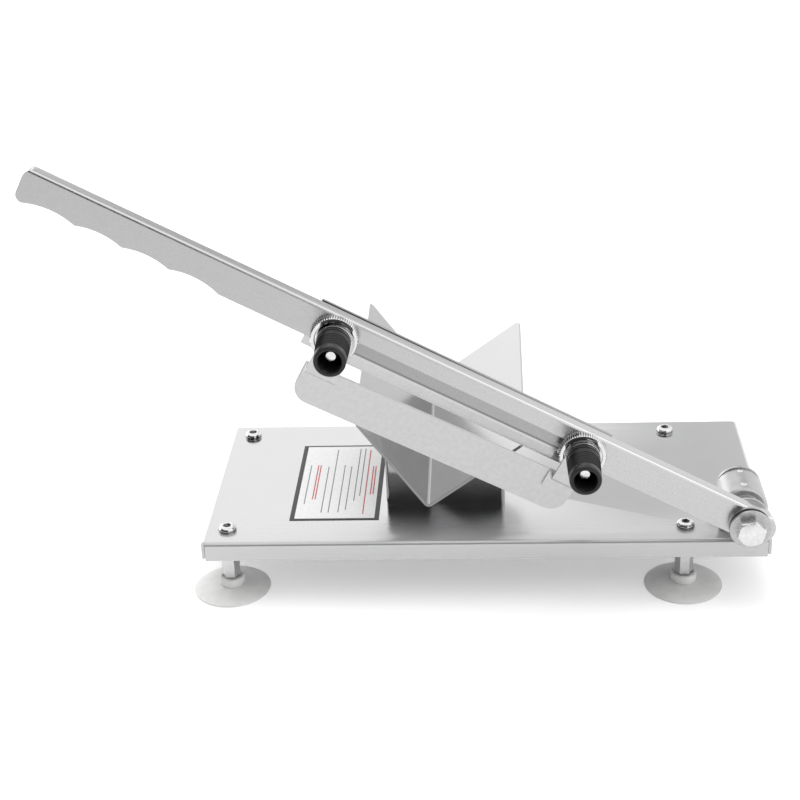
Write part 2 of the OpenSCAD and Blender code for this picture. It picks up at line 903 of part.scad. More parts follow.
module gauge_plate() {
  near = -gauge_start;
  far = -gauge_start - gauge_length;
  outline = [
    [near, -gauge_top],
    [near, -gauge_top - gauge_inner_depth],
    [far, -gauge_top - gauge_fall - gauge_outer_depth],
    [far, -gauge_top - gauge_fall]
  ];
  color("gainsboro")
    on_lever()
      plate(gauge_front, sheet)
        polygon(rounded(outline, [0, gauge_corner, gauge_corner, 0]));
}

// One bracket, a strip folded twice between a stud and the gauge plate, set in from its stud
module bracket(place, inset) {
  half = bracket_width / 2;
  fall = (place - stud_places[0]) * gauge_fall / gauge_length;
  shelf_low = -bracket_drop - fall;
  shelf_high = shelf_low + sheet;
  flange_low = shelf_high - flange_depth;
  inner = bracket_fold_radius - sheet;
  section = [
    [tab_front, half],
    [tab_back, half],
    [tab_back, shelf_high],
    [gauge_front, shelf_high],
    [gauge_front, flange_low],
    [flange_front, flange_low],
    [flange_front, shelf_low],
    [tab_front, shelf_low]
  ];
  radii = [0, 0, inner, bracket_fold_radius, 0, 0, inner, bracket_fold_radius];
  face = [[-half, 0], [-half, flange_low], [half, flange_low], [half, 0]];
  color("lightgray")
    on_lever()
      translate([-place, 0, -stud_drop])
        difference() {
          translate([inset, 0, 0])
            intersection() {
              translate([-half, 0, 0])
                rotate([90, 0, 90])
                  linear_extrude(bracket_width)
                    polygon(rounded(section, radii));
              plate(tab_front - overrun, gauge_front - tab_front + 2 * overrun) {
                circle(r = half);
                polygon(rounded(face, [0, flange_corner, flange_corner, 0]));
              }
            }
          rod(tab_front - overrun, sheet + 2 * overrun, small_thread_radius + slide_clearance);
        }
}

module bracket_left() bracket(stud_places[1], bracket_shift);
module bracket_right() bracket(stud_places[0], 0);

module knob_washers() {
  color("silver")
    on_lever()
      for (place = stud_places)
        translate([-place, 0, -stud_drop])
          ring(
            knob_back, knob_washer_thickness, knob_washer_radius,
            small_thread_radius + slide_clearance
          );
}

// One knurled disc, which screws along its stud behind a bracket
module disc(place) {
  teeth = [
    for (i = [0 : 2 * knurl_count - 1])
      (disc_radius - (i % 2) * knurl_depth)
        * [cos(180 * i / knurl_count), sin(180 * i / knurl_count)]
  ];
  color("silver")
    on_lever()
      translate([-place, 0, -stud_drop])
        plate(tab_back, disc_thickness)
          difference() {
            polygon(teeth);
            circle(r = small_thread_radius + shaft_fit);
          }
}

module disc_left() disc(stud_places[1]);
module disc_right() disc(stud_places[0]);

// One knob, which screws along its stud in front of a bracket
module knob(place) {
  band = knob_length * base_band_share;
  neck = knob_length * base_groove_share;
  rings = knob_length * [ring_start_share, ring_end_share];
  spacing = (rings[1] - rings[0]) / ring_count;
  bore = small_thread_radius + shaft_fit;
  grooves = [
    for (i = [0 : ring_count - 1])
      let (low = rings[0] + i * spacing, high = low + ring_width)
      each [
        [knob_skin(low), low],
        [knob_skin(low) - ring_depth, low],
        [knob_skin(high) - ring_depth, high],
        [knob_skin(high), high]
      ]
  ];
  profile = concat(
    [
      [bore, 0],
      [knob_base_radius - ring_depth, 0],
      [knob_base_radius, ring_depth],
      [knob_base_radius, band],
      [knob_base_radius - 2 * ring_depth, band],
      [knob_base_radius - 2 * ring_depth, neck],
      [knob_skin(neck), neck]
    ],
    grooves,
    [
      [knob_end_radius, knob_length - thread_chamfer],
      [knob_end_radius - thread_chamfer, knob_length],
      [knob_recess_radius, knob_length],
      [knob_recess_radius, knob_thread_length],
      [bore, knob_thread_length]
    ]
  );
  color("dimgray")
    on_lever()
      translate([-place, knob_back, -stud_drop])
        rotate([90, 0, 0])
          rotate_extrude()
            polygon(profile);
}

module knob_left() knob(stud_places[1]);
module knob_right() knob(stud_places[0]);

base_plate();
foot_screws();
foot_post_1();
foot_post_2();
foot_post_3();
foot_post_4();
suction_cup_1();
suction_cup_2();
suction_cup_3();
suction_cup_4();
trough();
trough_stand();
label_panel();
pivot_block();
pivot_bolt();
pivot_front_washer();
pivot_spring_washer();
pivot_arm_washer();
pivot_back_washer();
pivot_jam_nut();
pivot_spacer_washer();
pivot_far_washer();
pivot_lock_nut();
arm_channel();
pivot_bush();
blade();
stud_left();
stud_right();
stud_nuts();
gauge_plate();
bracket_left();
bracket_right();
knob_washers();
disc_left();
disc_right();
knob_left();
knob_right();
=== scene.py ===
"""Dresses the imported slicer: finishes, screws, knurls and knobs, set in a plain pale studio."""
import logging
import math
from dataclasses import dataclass
from enum import Enum, IntEnum
from typing import Callable, NamedTuple, Optional, Sequence

import bmesh
import bpy
from mathutils import Matrix, Vector


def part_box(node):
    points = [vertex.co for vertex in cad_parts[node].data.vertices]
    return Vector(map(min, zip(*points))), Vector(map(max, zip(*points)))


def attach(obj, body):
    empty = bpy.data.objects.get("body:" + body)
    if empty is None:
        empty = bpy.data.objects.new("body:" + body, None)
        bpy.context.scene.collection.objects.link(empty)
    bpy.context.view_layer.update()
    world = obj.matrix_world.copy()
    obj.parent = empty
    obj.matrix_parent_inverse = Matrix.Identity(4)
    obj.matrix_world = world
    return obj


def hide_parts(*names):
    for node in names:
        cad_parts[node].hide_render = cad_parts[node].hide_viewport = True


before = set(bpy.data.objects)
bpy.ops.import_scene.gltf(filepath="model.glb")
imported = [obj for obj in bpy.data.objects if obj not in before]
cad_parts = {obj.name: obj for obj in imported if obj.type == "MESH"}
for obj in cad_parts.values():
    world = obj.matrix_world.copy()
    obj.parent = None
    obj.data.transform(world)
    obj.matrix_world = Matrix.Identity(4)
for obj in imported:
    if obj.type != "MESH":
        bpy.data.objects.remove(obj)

Socket = bpy.types.NodeSocket
Node = bpy.types.Node
Tree = bpy.types.NodeTree
Material = bpy.types.Material
Piece = bpy.types.Object
Shape = bmesh.types.BMesh
Maker = Callable[[], Tree]
Value = float | Socket
Inputs = dict[str | int, object]
Triple = tuple[float, float, float]
Zone = tuple[float, float]
Rows = tuple[tuple[float, float], ...]

LOG = logging.getLogger("slicer")
MM = 0.001
FULL_TURN = 2 * math.pi
QUARTER_TURN = math.pi / 2
SHARP_ANGLE = math.radians(35)
KNURL_ANGLE = math.radians(30)
FLAT_ANGLE = math.radians(0.3)
JOIN_DISTANCE = 0.001 * MM
KNURL_JOIN_DISTANCE = 0.002 * MM
EDGE_WIDTH = 0.15 * MM
EDGE_SEGMENTS = 2
HEX = 6
BLUE_LIFT = 0.005
# Mesh attribute that marks the grooves and hollows where the materials paint shade
GROOVE = "groove"
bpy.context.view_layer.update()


class Grain(Enum):
    """Directions along which the steel was brushed or rolled."""

    TRAY = "along the tray"
    LEVER = "along the lever"
    UPRIGHT = "upright"


class Slot(Enum):
    """The record's material slots, one named for each kind of dressed piece."""

    TRAY = "tray_steel"
    TROUGH = "trough_steel"
    STAND = "stand_steel"
    BLOCK = "block_steel"
    LEVER = "lever_steel"
    BLADE = "blade_steel"
    GAUGE = "gauge_steel"
    KNURLED = "knurled_steel"
    POST = "post_steel"
    FASTENER = "fastener_steel"
    KNOB = "knob_plastic"
    CUP = "cup_rubber"
    PANEL = "panel_film"


class Box(NamedTuple):
    """Lowest and highest corners of a CAD node, in metres."""

    low: Vector
    high: Vector

    @property
    def middle(self) -> Vector:
        """The box's middle."""
        return (self.low + self.high) / 2

    @property
    def size(self) -> Vector:
        """The box's width, depth and height."""
        return self.high - self.low


def box(node: str) -> Box:
    """The box of a CAD node at rest."""
    low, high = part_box(node)
    return Box(Vector(low), Vector(high))


def lever_angle() -> float:
    """The lever's slope, from the places of its two discs, in radians."""
    span = box("disc_left").middle - box("disc_right").middle
    return math.atan2(span.z, -span.x)


def grain_turn(grain: Grain) -> Triple:
    """Turns that bring a grain's direction onto the X axis.

    Args:
        grain: The direction of the grain.

    Returns:
        Euler angles for a Mapping node.
    """
    return {
        Grain.TRAY: (0.0, 0.0, 0.0),
        Grain.LEVER: (0.0, -lever_angle(), 0.0),
        Grain.UPRIGHT: (0.0, QUARTER_TURN, 0.0),
    }[grain]


# Node trees


class Graph:
    """Adds and links nodes in one tree."""

    def __init__(self, tree: Tree) -> None:
        """Keeps the shader or geometry tree to build in."""
        self.tree = tree

    def add(self, kind: str, inputs: Optional[Inputs] = None, **settings: object) -> Node:
        """Adds a node.

        Args:
            kind: The node's type name.
            inputs: Names or numbers of its inputs, each with an output to link or a plain value.
            settings: Attributes to set on the node before its inputs.

        Returns:
            The new node.
        """
        node = self.tree.nodes.new(kind)
        for name, value in settings.items():
            setattr(node, name, value)
        self.fill(node, inputs or {})
        return node

    def fill(self, node: Node, inputs: Inputs) -> None:
        """Links outputs to a node's inputs, or sets the inputs' own values.

        Args:
            node: The node.
            inputs: Names or numbers of its inputs, each with an output or a plain value.
        """
        for name, value in inputs.items():
            if isinstance(value, Socket):
                self.tree.links.new(value, node.inputs[name])
            else:
                node.inputs[name].default_value = value

    def math(self, operation: str, *values: Value) -> Socket:
        """Adds a Math node with its inputs in order, and gives its output."""
        return self.add("ShaderNodeMath", dict(enumerate(values)), operation=operation).outputs[0]

    def ramp(self, value: Value, low: float, high: float, start: Value, end: Value) -> Socket:
        """Maps low to high onto start to end, smoothly and with the ends held."""
        inputs = {"Value": value, "From Min": low, "From Max": high, "To Min": start, "To Max": end}
        return self.add("ShaderNodeMapRange", inputs, interpolation_type="SMOOTHSTEP").outputs["Result"]

    def blend(self, share: Value, first: object, second: object, data_type: str = "FLOAT") -> Socket:
        """Mixes two values or colours by the second one's share."""
        inputs = {"Factor": share, "A": first, "B": second}
        return self.add("ShaderNodeMix", inputs, data_type=data_type).outputs["Result"]

    def around_one(self, value: Value, spread: Value) -> Socket:
        """A factor that swings round one by a spread, as a value goes from 0 to 1."""
        swing = self.math("MULTIPLY", self.math("SUBTRACT", value, 0.5), spread)
        return self.math("ADD", self.math("MULTIPLY", swing, 2.0), 1.0)


def new_group(name: str, kind: str, inputs: Sequence[tuple[str, str, object]],
              outputs: Sequence[tuple[str, str]]) -> tuple[Graph, Node, Node]:
    """Starts a node group with named inputs and outputs.

    Args:
        name: The group's name.
        kind: The tree's type name.
        inputs: Name, socket type and default value of each input.
        outputs: Name and socket type of each output.

    Returns:
        The graph, its input node and its output node.
    """
    tree = bpy.data.node_groups.new(name, kind)
    for title, socket_type, value in inputs:
        socket = tree.interface.new_socket(title, in_out="INPUT", socket_type=f"NodeSocket{socket_type}")
        if value is not None:
            socket.default_value = value
    for title, socket_type in outputs:
        tree.interface.new_socket(title, in_out="OUTPUT", socket_type=f"NodeSocket{socket_type}")
    graph = Graph(tree)
    return graph, graph.add("NodeGroupInput"), graph.add("NodeGroupOutput")


def brushed_grain_group() -> Tree:
    """Builds the group for the fine lines of brushed or rolled steel.

    Returns:
        A group that turns a vector into a tone factor and a height.
    """
    graph, start, end = new_group(
        "brushed_grain", "ShaderNodeTree",
        [("Vector", "Vector", None), ("Along", "Float", 40.0), ("Across", "Float", 1500.0),
         ("Spread", "Float", 0.05)],
        [("Tone", "Float"), ("Height", "Float")])
    given = start.outputs
    scale = graph.add("ShaderNodeCombineXYZ",
                      {"X": given["Along"], "Y": given["Across"], "Z": given["Across"]})
    stretched = graph.add("ShaderNodeVectorMath", {0: given["Vector"], 1: scale.outputs[0]},
                          operation="MULTIPLY")
    texture = {"Vector": stretched.outputs[0], "Scale": 1.0, "Detail": 3.0, "Roughness": 0.65}
    lines = graph.add("ShaderNodeTexNoise", texture, noise_dimensions="3D").outputs["Fac"]
    graph.fill(end, {"Tone": graph.around_one(lines, given["Spread"]), "Height": lines})
    return graph.tree


def mottle_group() -> Tree:
    """Builds the group for soft cloudy variation, such as handling marks.

    Returns:
        A group that turns a vector into a factor around one and a mask.
    """
    graph, start, end = new_group(
        "mottle", "ShaderNodeTree",
        [("Vector", "Vector", None), ("Scale", "Float", 200.0), ("Spread", "Float", 0.03)],
        [("Factor", "Float"), ("Mask", "Float")])
    given = start.outputs
    texture = {"Vector": given["Vector"], "Scale": given["Scale"], "Detail": 4.0}
    clouds = graph.add("ShaderNodeTexNoise", texture, noise_dimensions="3D")
    thin, thick = 0.35, 0.65
    mask = graph.ramp(clouds.outputs["Fac"], thin, thick, 0.0, 1.0)
    graph.fill(end, {"Factor": graph.around_one(mask, given["Spread"]), "Mask": mask})
    return graph.tree


def edge_wear_group() -> Tree:
    """Builds the group that finds edges, where a finish is rubbed bright.

    Returns:
        A group that turns a radius into a mask of the edges.
    """
    graph, start, end = new_group(
        "edge_wear", "ShaderNodeTree",
        [("Radius", "Float", 0.4 * MM), ("Break Up", "Float", 900.0)], [("Mask", "Float")])
    given = start.outputs
    rounded = graph.add("ShaderNodeBevel", {"Radius": given["Radius"]}, samples=4)
    true_face = graph.add("ShaderNodeNewGeometry")
    agree = graph.add("ShaderNodeVectorMath",
                      {0: rounded.outputs["Normal"], 1: true_face.outputs["Normal"]},
                      operation="DOT_PRODUCT")
    least_bend, full_bend = 0.01, 0.12
    bend = graph.math("SUBTRACT", 1.0, agree.outputs["Value"])
    edge = graph.ramp(bend, least_bend, full_bend, 0.0, 1.0)
    place = graph.add("ShaderNodeTexCoord").outputs["Object"]
    speckle = graph.add("ShaderNodeTexNoise", {"Vector": place, "Scale": given["Break Up"]},
                        noise_dimensions="3D")
    graph.fill(end, {"Mask": graph.math("MULTIPLY", edge, speckle.outputs["Fac"])})
    return graph.tree


class Groups:
    """The node groups and trees that are placed several times, each built once."""

    made: dict[str, Tree] = {}

    @classmethod
    def get(cls, maker: Maker) -> Tree:
        """Gives a shared group, and builds it when it is first asked for.

        Args:
            maker: The function that builds the group.

        Returns:
            The group's tree.
        """
        if maker.__name__ not in cls.made:
            cls.made[maker.__name__] = maker()
        return cls.made[maker.__name__]


class Surface:
    """A material with one Principled shader, and the pieces that finishes add to it."""

    def __init__(self, name: str) -> None:
        """Starts the material.

        Args:
            name: The material's name.
        """
        self.material = bpy.data.materials.new(name)
        self.material.use_nodes = True
        self.graph = Graph(self.material.node_tree)
        self.shader = self.material.node_tree.nodes["Principled BSDF"]

    def fill(self, inputs: Inputs) -> None:
        """Links or sets inputs of the shader."""
        self.graph.fill(self.shader, inputs)

    def vector(self, turn: Triple = (0.0, 0.0, 0.0)) -> Socket:
        """Object coordinates, turned by Euler angles."""
        place = self.graph.add("ShaderNodeTexCoord").outputs["Object"]
        return self.graph.add("ShaderNodeMapping", {"Vector": place, "Rotation": turn}).outputs["Vector"]

    def group(self, maker: Maker, **values: object) -> Node:
        """Places a shared group, with its inputs named with underscores for spaces."""
        inputs = {name.replace("_", " "): value for name, value in values.items()}
        return self.graph.add("ShaderNodeGroup", inputs, node_tree=Groups.get(maker))

    def shade(self, colour: Triple | Socket, factor: Socket) -> Socket:
        """A colour multiplied by a factor that changes over the surface."""
        inputs = {0: colour, "Scale": factor}
        return self.graph.add("ShaderNodeVectorMath", inputs, operation="SCALE").outputs[0]

    def darkened(self, factor: Socket, depth: float) -> Socket:
        """Darkens a factor in the grooves that the mesh marks: painted shade in the hollows.

        Args:
            factor: The factor.
            depth: How much darker the bottom of a groove is, from 0 to 1.

        Returns:
            The factor with its grooves.
        """
        if not depth:
            return factor
        mark = self.graph.add("ShaderNodeAttribute", attribute_name=GROOVE).outputs["Fac"]
        kept = self.graph.math("SUBTRACT", 1.0, self.graph.math("MULTIPLY", mark, depth))
        return self.graph.math("MULTIPLY", factor, kept)

    def relief(self, height: Socket, distance: float, strength: float) -> None:
        """Bumps the surface by a height, over a distance in metres and with a strength from 0 to 1."""
        inputs = {"Height": height, "Distance": distance, "Strength": strength}
        self.fill({"Normal": self.graph.add("ShaderNodeBump", inputs).outputs["Normal"]})


# Finishes


class Fade(NamedTuple):
    """A change along one axis, or away from a plane across it where a centre is given: of tone, mostly
    painted shade and highlights, or of roughness or metalness.
    """

    axis: str
    low: float
    high: float
    start: float
    end: float
    centre: Optional[float] = None

    def value(self, graph: Graph, vector: Socket) -> Socket:
        """Adds the nodes of the change.

        Args:
            graph: The graph to build in.
            vector: The place on the surface.

        Returns:
            The value there.
        """
        place = graph.add("ShaderNodeSeparateXYZ", {0: vector}).outputs[self.axis]
        if self.centre is not None:
            place = graph.math("ABSOLUTE", graph.math("SUBTRACT", place, self.centre))
        return graph.ramp(place, self.low, self.high, self.start, self.end)


class Overlap(NamedTuple):
    """A zone of painted shade that lies only where every one of its changes is dark."""

    parts: tuple[Fade, ...]

    def value(self, graph: Graph, vector: Socket) -> Socket:
        """Adds the nodes of the zone.

        Args:
            graph: The graph to build in.
            vector: The place on the surface.

        Returns:
            The largest of the changes' values there.
        """
        value, *others = (part.value(graph, vector) for part in self.parts)
        for other in others:
            value = graph.math("MAXIMUM", value, other)
        return value


@dataclass(frozen=True)
class Steel:
    """Bare stainless or zinc-plated steel with a grain and faint handling marks, and any painted shade,
    highlights and pale zones that its changes give.
    """

    name: str
    tone: float
    roughness: float
    grain: Grain = Grain.TRAY
    along: float = 40.0
    across: float = 1600.0
    spread: float = 0.05
    relief: float = 0.15
    relief_depth: float = 0.02 * MM
    mottle_scale: float = 260.0
    mottle: float = 0.03
    rough_swing: float = 0.1
    # How dark the painted shade in the marked grooves is
    groove: float = 0.0
    # Changes of tone: painted shade and highlights
    fades: tuple[Fade | Overlap, ...] = ()
    haze: Optional[Fade] = None
    # A paler, less metallic zone: painted light
    film: Optional[Fade] = None

    def material(self) -> Material:
        """Builds the material.

        Returns:
            The material.
        """
        surface = Surface(self.name)
        graph = surface.graph
        vector = surface.vector(grain_turn(self.grain))
        lines = surface.group(brushed_grain_group, Vector=vector, Along=self.along, Across=self.across,
                              Spread=self.spread)
        clouds = surface.group(mottle_group, Vector=vector, Scale=self.mottle_scale, Spread=self.mottle)
        factor = graph.math("MULTIPLY", lines.outputs["Tone"], clouds.outputs["Factor"])
        # Painted shade in the grooves that the mesh marks
        factor = surface.darkened(factor, self.groove)
        # Painted shade and highlights
        for fade in self.fades:
            factor = graph.math("MULTIPLY", factor, fade.value(graph, vector))
        colour = (self.tone, self.tone, self.tone + BLUE_LIFT)
        surface.fill({"Base Color": surface.shade(colour, factor), "Metallic": 1.0})
        # Painted light: less metallic, so paler, where the film change is high
        if self.film:
            surface.fill({"Metallic": graph.math("SUBTRACT", 1.0, self.film.value(graph, vector))})
        rough = graph.ramp(clouds.outputs["Mask"], 0.0, 1.0, self.roughness * (1 - self.rough_swing),
                           self.roughness * (1 + self.rough_swing))
        if self.haze:
            rough = graph.math("ADD", rough, self.haze.value(graph, vector))
        surface.fill({"Roughness": rough})
        surface.relief(lines.outputs["Height"], self.relief_depth, self.relief)
        return surface.material


@dataclass(frozen=True)
class Plating(Steel):
    """Zinc or chrome plating, whose grain is short and nearly even."""

    along: float = 500.0
    across: float = 900.0


@dataclass(frozen=True)
class Moulding:
    """Moulded rubber or plastic with a fine texture and rubbed edges."""

    name: str
    colour: Triple
    worn: Triple
    roughness: float
    wear: float
    mottle: float
    mottle_scale: float = 220.0
    speckle_scale: float = 1400.0
    speckle: float = 0.02
    edge: float = 0.35 * MM
    break_up: float = 800.0
    relief: float = 0.3
    relief_depth: float = 0.03 * MM
    rough_swing: float = 0.12
    # How dark the painted shade in the marked grooves is
    groove: float = 0.0
    specular: float = 0.5

    def material(self) -> Material:
        """Builds the material.

        Returns:
            The material.
        """
        surface = Surface(self.name)
        graph = surface.graph
        vector = surface.vector()
        clouds = surface.group(mottle_group, Vector=vector, Scale=self.mottle_scale, Spread=self.mottle)
        fine = surface.group(mottle_group, Vector=vector, Scale=self.speckle_scale, Spread=self.speckle)
        wear = surface.group(edge_wear_group, Radius=self.edge, Break_Up=self.break_up)
        rubbed = graph.math("MULTIPLY", wear.outputs["Mask"], self.wear)
        colour = graph.blend(rubbed, (*self.colour, 1.0), (*self.worn, 1.0), data_type="RGBA")
        # Painted shade in the grooves that the mesh marks
        tone = surface.shade(colour, surface.darkened(clouds.outputs["Factor"], self.groove))
        rough = graph.ramp(clouds.outputs["Mask"], 0.0, 1.0, self.roughness * (1 - self.rough_swing),
                           self.roughness * (1 + self.rough_swing))
        surface.fill({"Base Color": tone, "Roughness": rough, "Specular IOR Level": self.specular})
        surface.relief(fine.outputs["Mask"], self.relief_depth, self.relief)
        return surface.material


@dataclass(frozen=True)
class Ink:
    """A printed colour on the panel's film."""

    name: str
    colour: Triple
    mottle_scale: float = 500.0
    mottle: float = 0.03
    smoothest: float = 0.34
    roughest: float = 0.42

    def material(self) -> Material:
        """Builds the material.

        Returns:
            The material.
        """
        surface = Surface(self.name)
        clouds = surface.group(mottle_group, Vector=surface.vector(), Scale=self.mottle_scale,
                               Spread=self.mottle)
        rough = surface.graph.ramp(clouds.outputs["Mask"], 0.0, 1.0, self.smoothest, self.roughest)
        surface.fill({"Base Color": surface.shade(self.colour, clouds.outputs["Factor"]),
                      "Roughness": rough})
        return surface.material


# Meshes


class Ring(NamedTuple):
    """One ring of a turned shape: height, radius, number of flats (0 is round) and share of painted groove
    shade.
    """

    height: float
    radius: float
    flats: int = 0
    groove: float = 0.0


def ring_point(ring: Ring, angle: float) -> Vector:
    """A point on a ring.

    Args:
        ring: The ring.
        angle: The angle about the axis, in radians.

    Returns:
        The point, with the ring's axis along Z.
    """
    radius = ring.radius
    if ring.flats:
        step = FULL_TURN / ring.flats
        radius /= math.cos((angle + step / 2) % step - step / 2)
    return Vector((radius * math.cos(angle), radius * math.sin(angle), ring.height))


def stepped(rows: Rows, height: float, radius: float) -> list[Ring]:
    """Rings from rows of millimetres, each the rise above a height and the inset from a radius."""
    return [Ring(height + rise * MM, radius - inset * MM) for rise, inset in rows]


def quarter(height: float, radius: float, rise: float, reach: float, steps: int) -> list[Ring]:
    """Rings on a quarter ellipse, from its reach outside a centre to its rise above the centre."""
    angles = [QUARTER_TURN * i / steps for i in range(steps + 1)]
    return [Ring(height + rise * math.sin(angle), radius + reach * math.cos(angle)) for angle in angles]


def turned(rings: Sequence[Ring], steps: int, hollow: bool = False) -> Shape:
    """Turns a closed shape about the Z axis.

    Args:
        rings: The rings, in order along the profile. A first or last ring of no radius is a pole.
        steps: The number of points round each ring.
        hollow: Whether the last ring joins the first one, which leaves a bore.

    Returns:
        The shape, with its faces outwards.
    """
    shape = bmesh.new()
    groove = shape.verts.layers.float.new(GROOVE)
    loops: list[list[bmesh.types.BMVert]] = []
    for ring in rings:
        count = steps if ring.radius > 0 else 1
        loops.append([shape.verts.new(ring_point(ring, FULL_TURN * i / steps)) for i in range(count)])
        # Each ring's share of painted groove shade goes on its points
        for point in loops[-1]:
            point[groove] = ring.groove
    pairs = list(zip(loops, loops[1:]))
    if hollow:
        pairs.append((loops[-1], loops[0]))
    for lower, upper in pairs:
        for i in range(steps):
            j = (i + 1) % steps
            corners = (lower[i % len(lower)], lower[j % len(lower)],
                       upper[j % len(upper)], upper[i % len(upper)])
            shape.faces.new(list(dict.fromkeys(corners)))
    if not hollow:
        for loop in (loops[0], loops[-1]):
            if len(loop) > 1:
                shape.faces.new(loop)
    bmesh.ops.recalc_face_normals(shape, faces=shape.faces)
    return shape


def add_object(name: str, shape: Shape, place: Optional[Matrix] = None) -> Piece:
    """Makes a smooth-shaded object whose place is in its mesh.

    Args:
        name: The object's name.
        shape: Its shape, which is freed.
        place: Where it goes.

    Returns:
        The object.
    """
    if place is not None:
        shape.transform(place)
    mesh = bpy.data.meshes.new(name)
    shape.to_mesh(mesh)
    shape.free()
    mesh.shade_smooth()
    mesh.set_sharp_from_angle(angle=SHARP_ANGLE)
    piece = bpy.data.objects.new(name, mesh)
    bpy.context.scene.collection.objects.link(piece)
    return piece


def applied(piece: Piece) -> Piece:
    """Turns an object's modifiers into plain mesh and removes them.

    Args:
        piece: The object.

    Returns:
        The same object.
    """
    bpy.context.view_layer.update()
    graph = bpy.context.evaluated_depsgraph_get()
    mesh = bpy.data.meshes.new_from_object(piece.evaluated_get(graph), preserve_all_data_layers=True,
                                           depsgraph=graph)
    piece.modifiers.clear()
    piece.data = mesh
    return piece


def softened(node: str, width: float, segments: int) -> Piece:
    """Copies a CAD node's mesh, joins its faces and softens its edges.

    Args:
        node: The node's name.
        width: The width of the softened edge.
        segments: The number of faces across it.

    Returns:
        The new piece.
    """
    shape = bmesh.new()
    shape.from_mesh(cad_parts[node].data)
    bmesh.ops.remove_doubles(shape, verts=shape.verts, dist=JOIN_DISTANCE)
    bmesh.ops.dissolve_limit(shape, angle_limit=FLAT_ANGLE, verts=shape.verts, edges=shape.edges,
                             use_dissolve_boundaries=False)
    piece = add_object(f"{node}_dressed", shape)
    bevel = piece.modifiers.new("soft edges", "BEVEL")
    bevel.width = width
    bevel.segments = segments
    bevel.limit_method = "ANGLE"
    bevel.angle_limit = SHARP_ANGLE
    bevel.harden_normals = True
    bevel.miter_outer = "MITER_ARC"
    return applied(piece)


def coat(piece: Piece, *materials: Material) -> Piece:
    """Gives a piece its materials.

    Args:
        piece: The piece.
        materials: Its materials, in slot order.

    Returns:
        The same piece.
    """
    for material in materials:
        piece.data.materials.append(material)
    return piece


def seat(piece: Piece, body: str, slot: Slot, *nodes: str) -> None:
    """Puts a finished piece on its body, in place of its CAD nodes.

    Args:
        piece: The piece.
        body: The CAD body that carries it.
        slot: The material slot meant for it; not used.
        nodes: The CAD nodes that it stands for.
    """
    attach(piece, body)
    if nodes:
        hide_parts(*nodes)
    LOG.info("%s on %s, %d faces", piece.name, body, len(piece.data.polygons))


def dress(node: str, material: Material, body: str, slot: Slot, width: float = EDGE_WIDTH,
          segments: int = EDGE_SEGMENTS) -> None:
    """Softens, coats and seats a CAD node's own shape."""
    seat(coat(softened(node, width, segments), material), body, slot, node)


# Geometry Nodes


def laid_out(graph: Graph, start: Node, end: Node, points: Socket, placing: dict[str, Socket]) -> Tree:
    """Ends a geometry tree: its geometry goes on points, becomes real mesh and takes the material.

    Args:
        graph: The graph of the tree.
        start: Its input node. Where this has a weld distance, the copies are welded.
        end: Its output node.
        points: The points.
        placing: The turn or the scale of the copies.

    Returns:
        The geometry tree.
    """
    given = start.outputs
    copies = graph.add("GeometryNodeInstanceOnPoints",
                       {"Points": points, "Instance": given["Geometry"], **placing})
    real = graph.add("GeometryNodeRealizeInstances", {0: copies.outputs[0]})
    if "Weld Distance" in given:
        real = graph.add("GeometryNodeMergeByDistance",
                         {"Geometry": real.outputs[0], "Distance": given["Weld Distance"]})
    dressed = graph.add("GeometryNodeSetMaterial",
                        {"Geometry": real.outputs[0], "Material": given["Material"]})
    graph.fill(end, {0: dressed.outputs[0]})
    return graph.tree


def chance(graph: Graph, low: Value, high: Value, seed: Socket) -> Socket:
    """A random number for each point, between two values."""
    inputs = {2: low, 3: high, "Seed": seed}
    return graph.add("FunctionNodeRandomValue", inputs, data_type="FLOAT").outputs[1]


def copies_on_rectangle() -> Tree:
    """Builds the tree that puts a copy of its geometry on each corner of a rectangle.

    Returns:
        The geometry tree.
    """
    graph, start, end = new_group(
        "copies_on_rectangle", "GeometryNodeTree",
        [("Geometry", "Geometry", None), ("Width", "Float", 0.2), ("Depth", "Float", 0.1),
         ("Middle", "Vector", None), ("Turn Spread", "Float", 1.0), ("Seed", "Int", 3),
         ("Material", "Material", None)],
        [("Geometry", "Geometry")])
    given = start.outputs
    corners = graph.add("GeometryNodeMeshGrid", {"Size X": given["Width"], "Size Y": given["Depth"],
                                                 "Vertices X": 2, "Vertices Y": 2})
    moved = graph.add("GeometryNodeSetPosition",
                      {"Geometry": corners.outputs["Mesh"], "Offset": given["Middle"]})
    angle = chance(graph, 0.0, given["Turn Spread"], given["Seed"])
    turn = graph.add("ShaderNodeCombineXYZ", {"Z": angle})
    return laid_out(graph, start, end, moved.outputs[0], {"Rotation": turn.outputs[0]})


def copies_round_axis() -> Tree:
    """Builds the tree that turns copies of a wedge about the Z axis and welds them into one ring.

    Returns:
        The geometry tree.
    """
    graph, start, end = new_group(
        "copies_round_axis", "GeometryNodeTree",
        [("Geometry", "Geometry", None), ("Count", "Int", 12),
         ("Weld Distance", "Float", KNURL_JOIN_DISTANCE), ("Material", "Material", None)],
        [("Geometry", "Geometry")])
    count = start.outputs["Count"]
    points = graph.add("GeometryNodePoints", {"Count": count})
    index = graph.add("GeometryNodeInputIndex").outputs[0]
    angle = graph.math("MULTIPLY", graph.math("DIVIDE", index, count), FULL_TURN)
    turn = graph.add("ShaderNodeCombineXYZ", {"Z": angle})
    return laid_out(graph, start, end, points.outputs[0], {"Rotation": turn.outputs[0]})


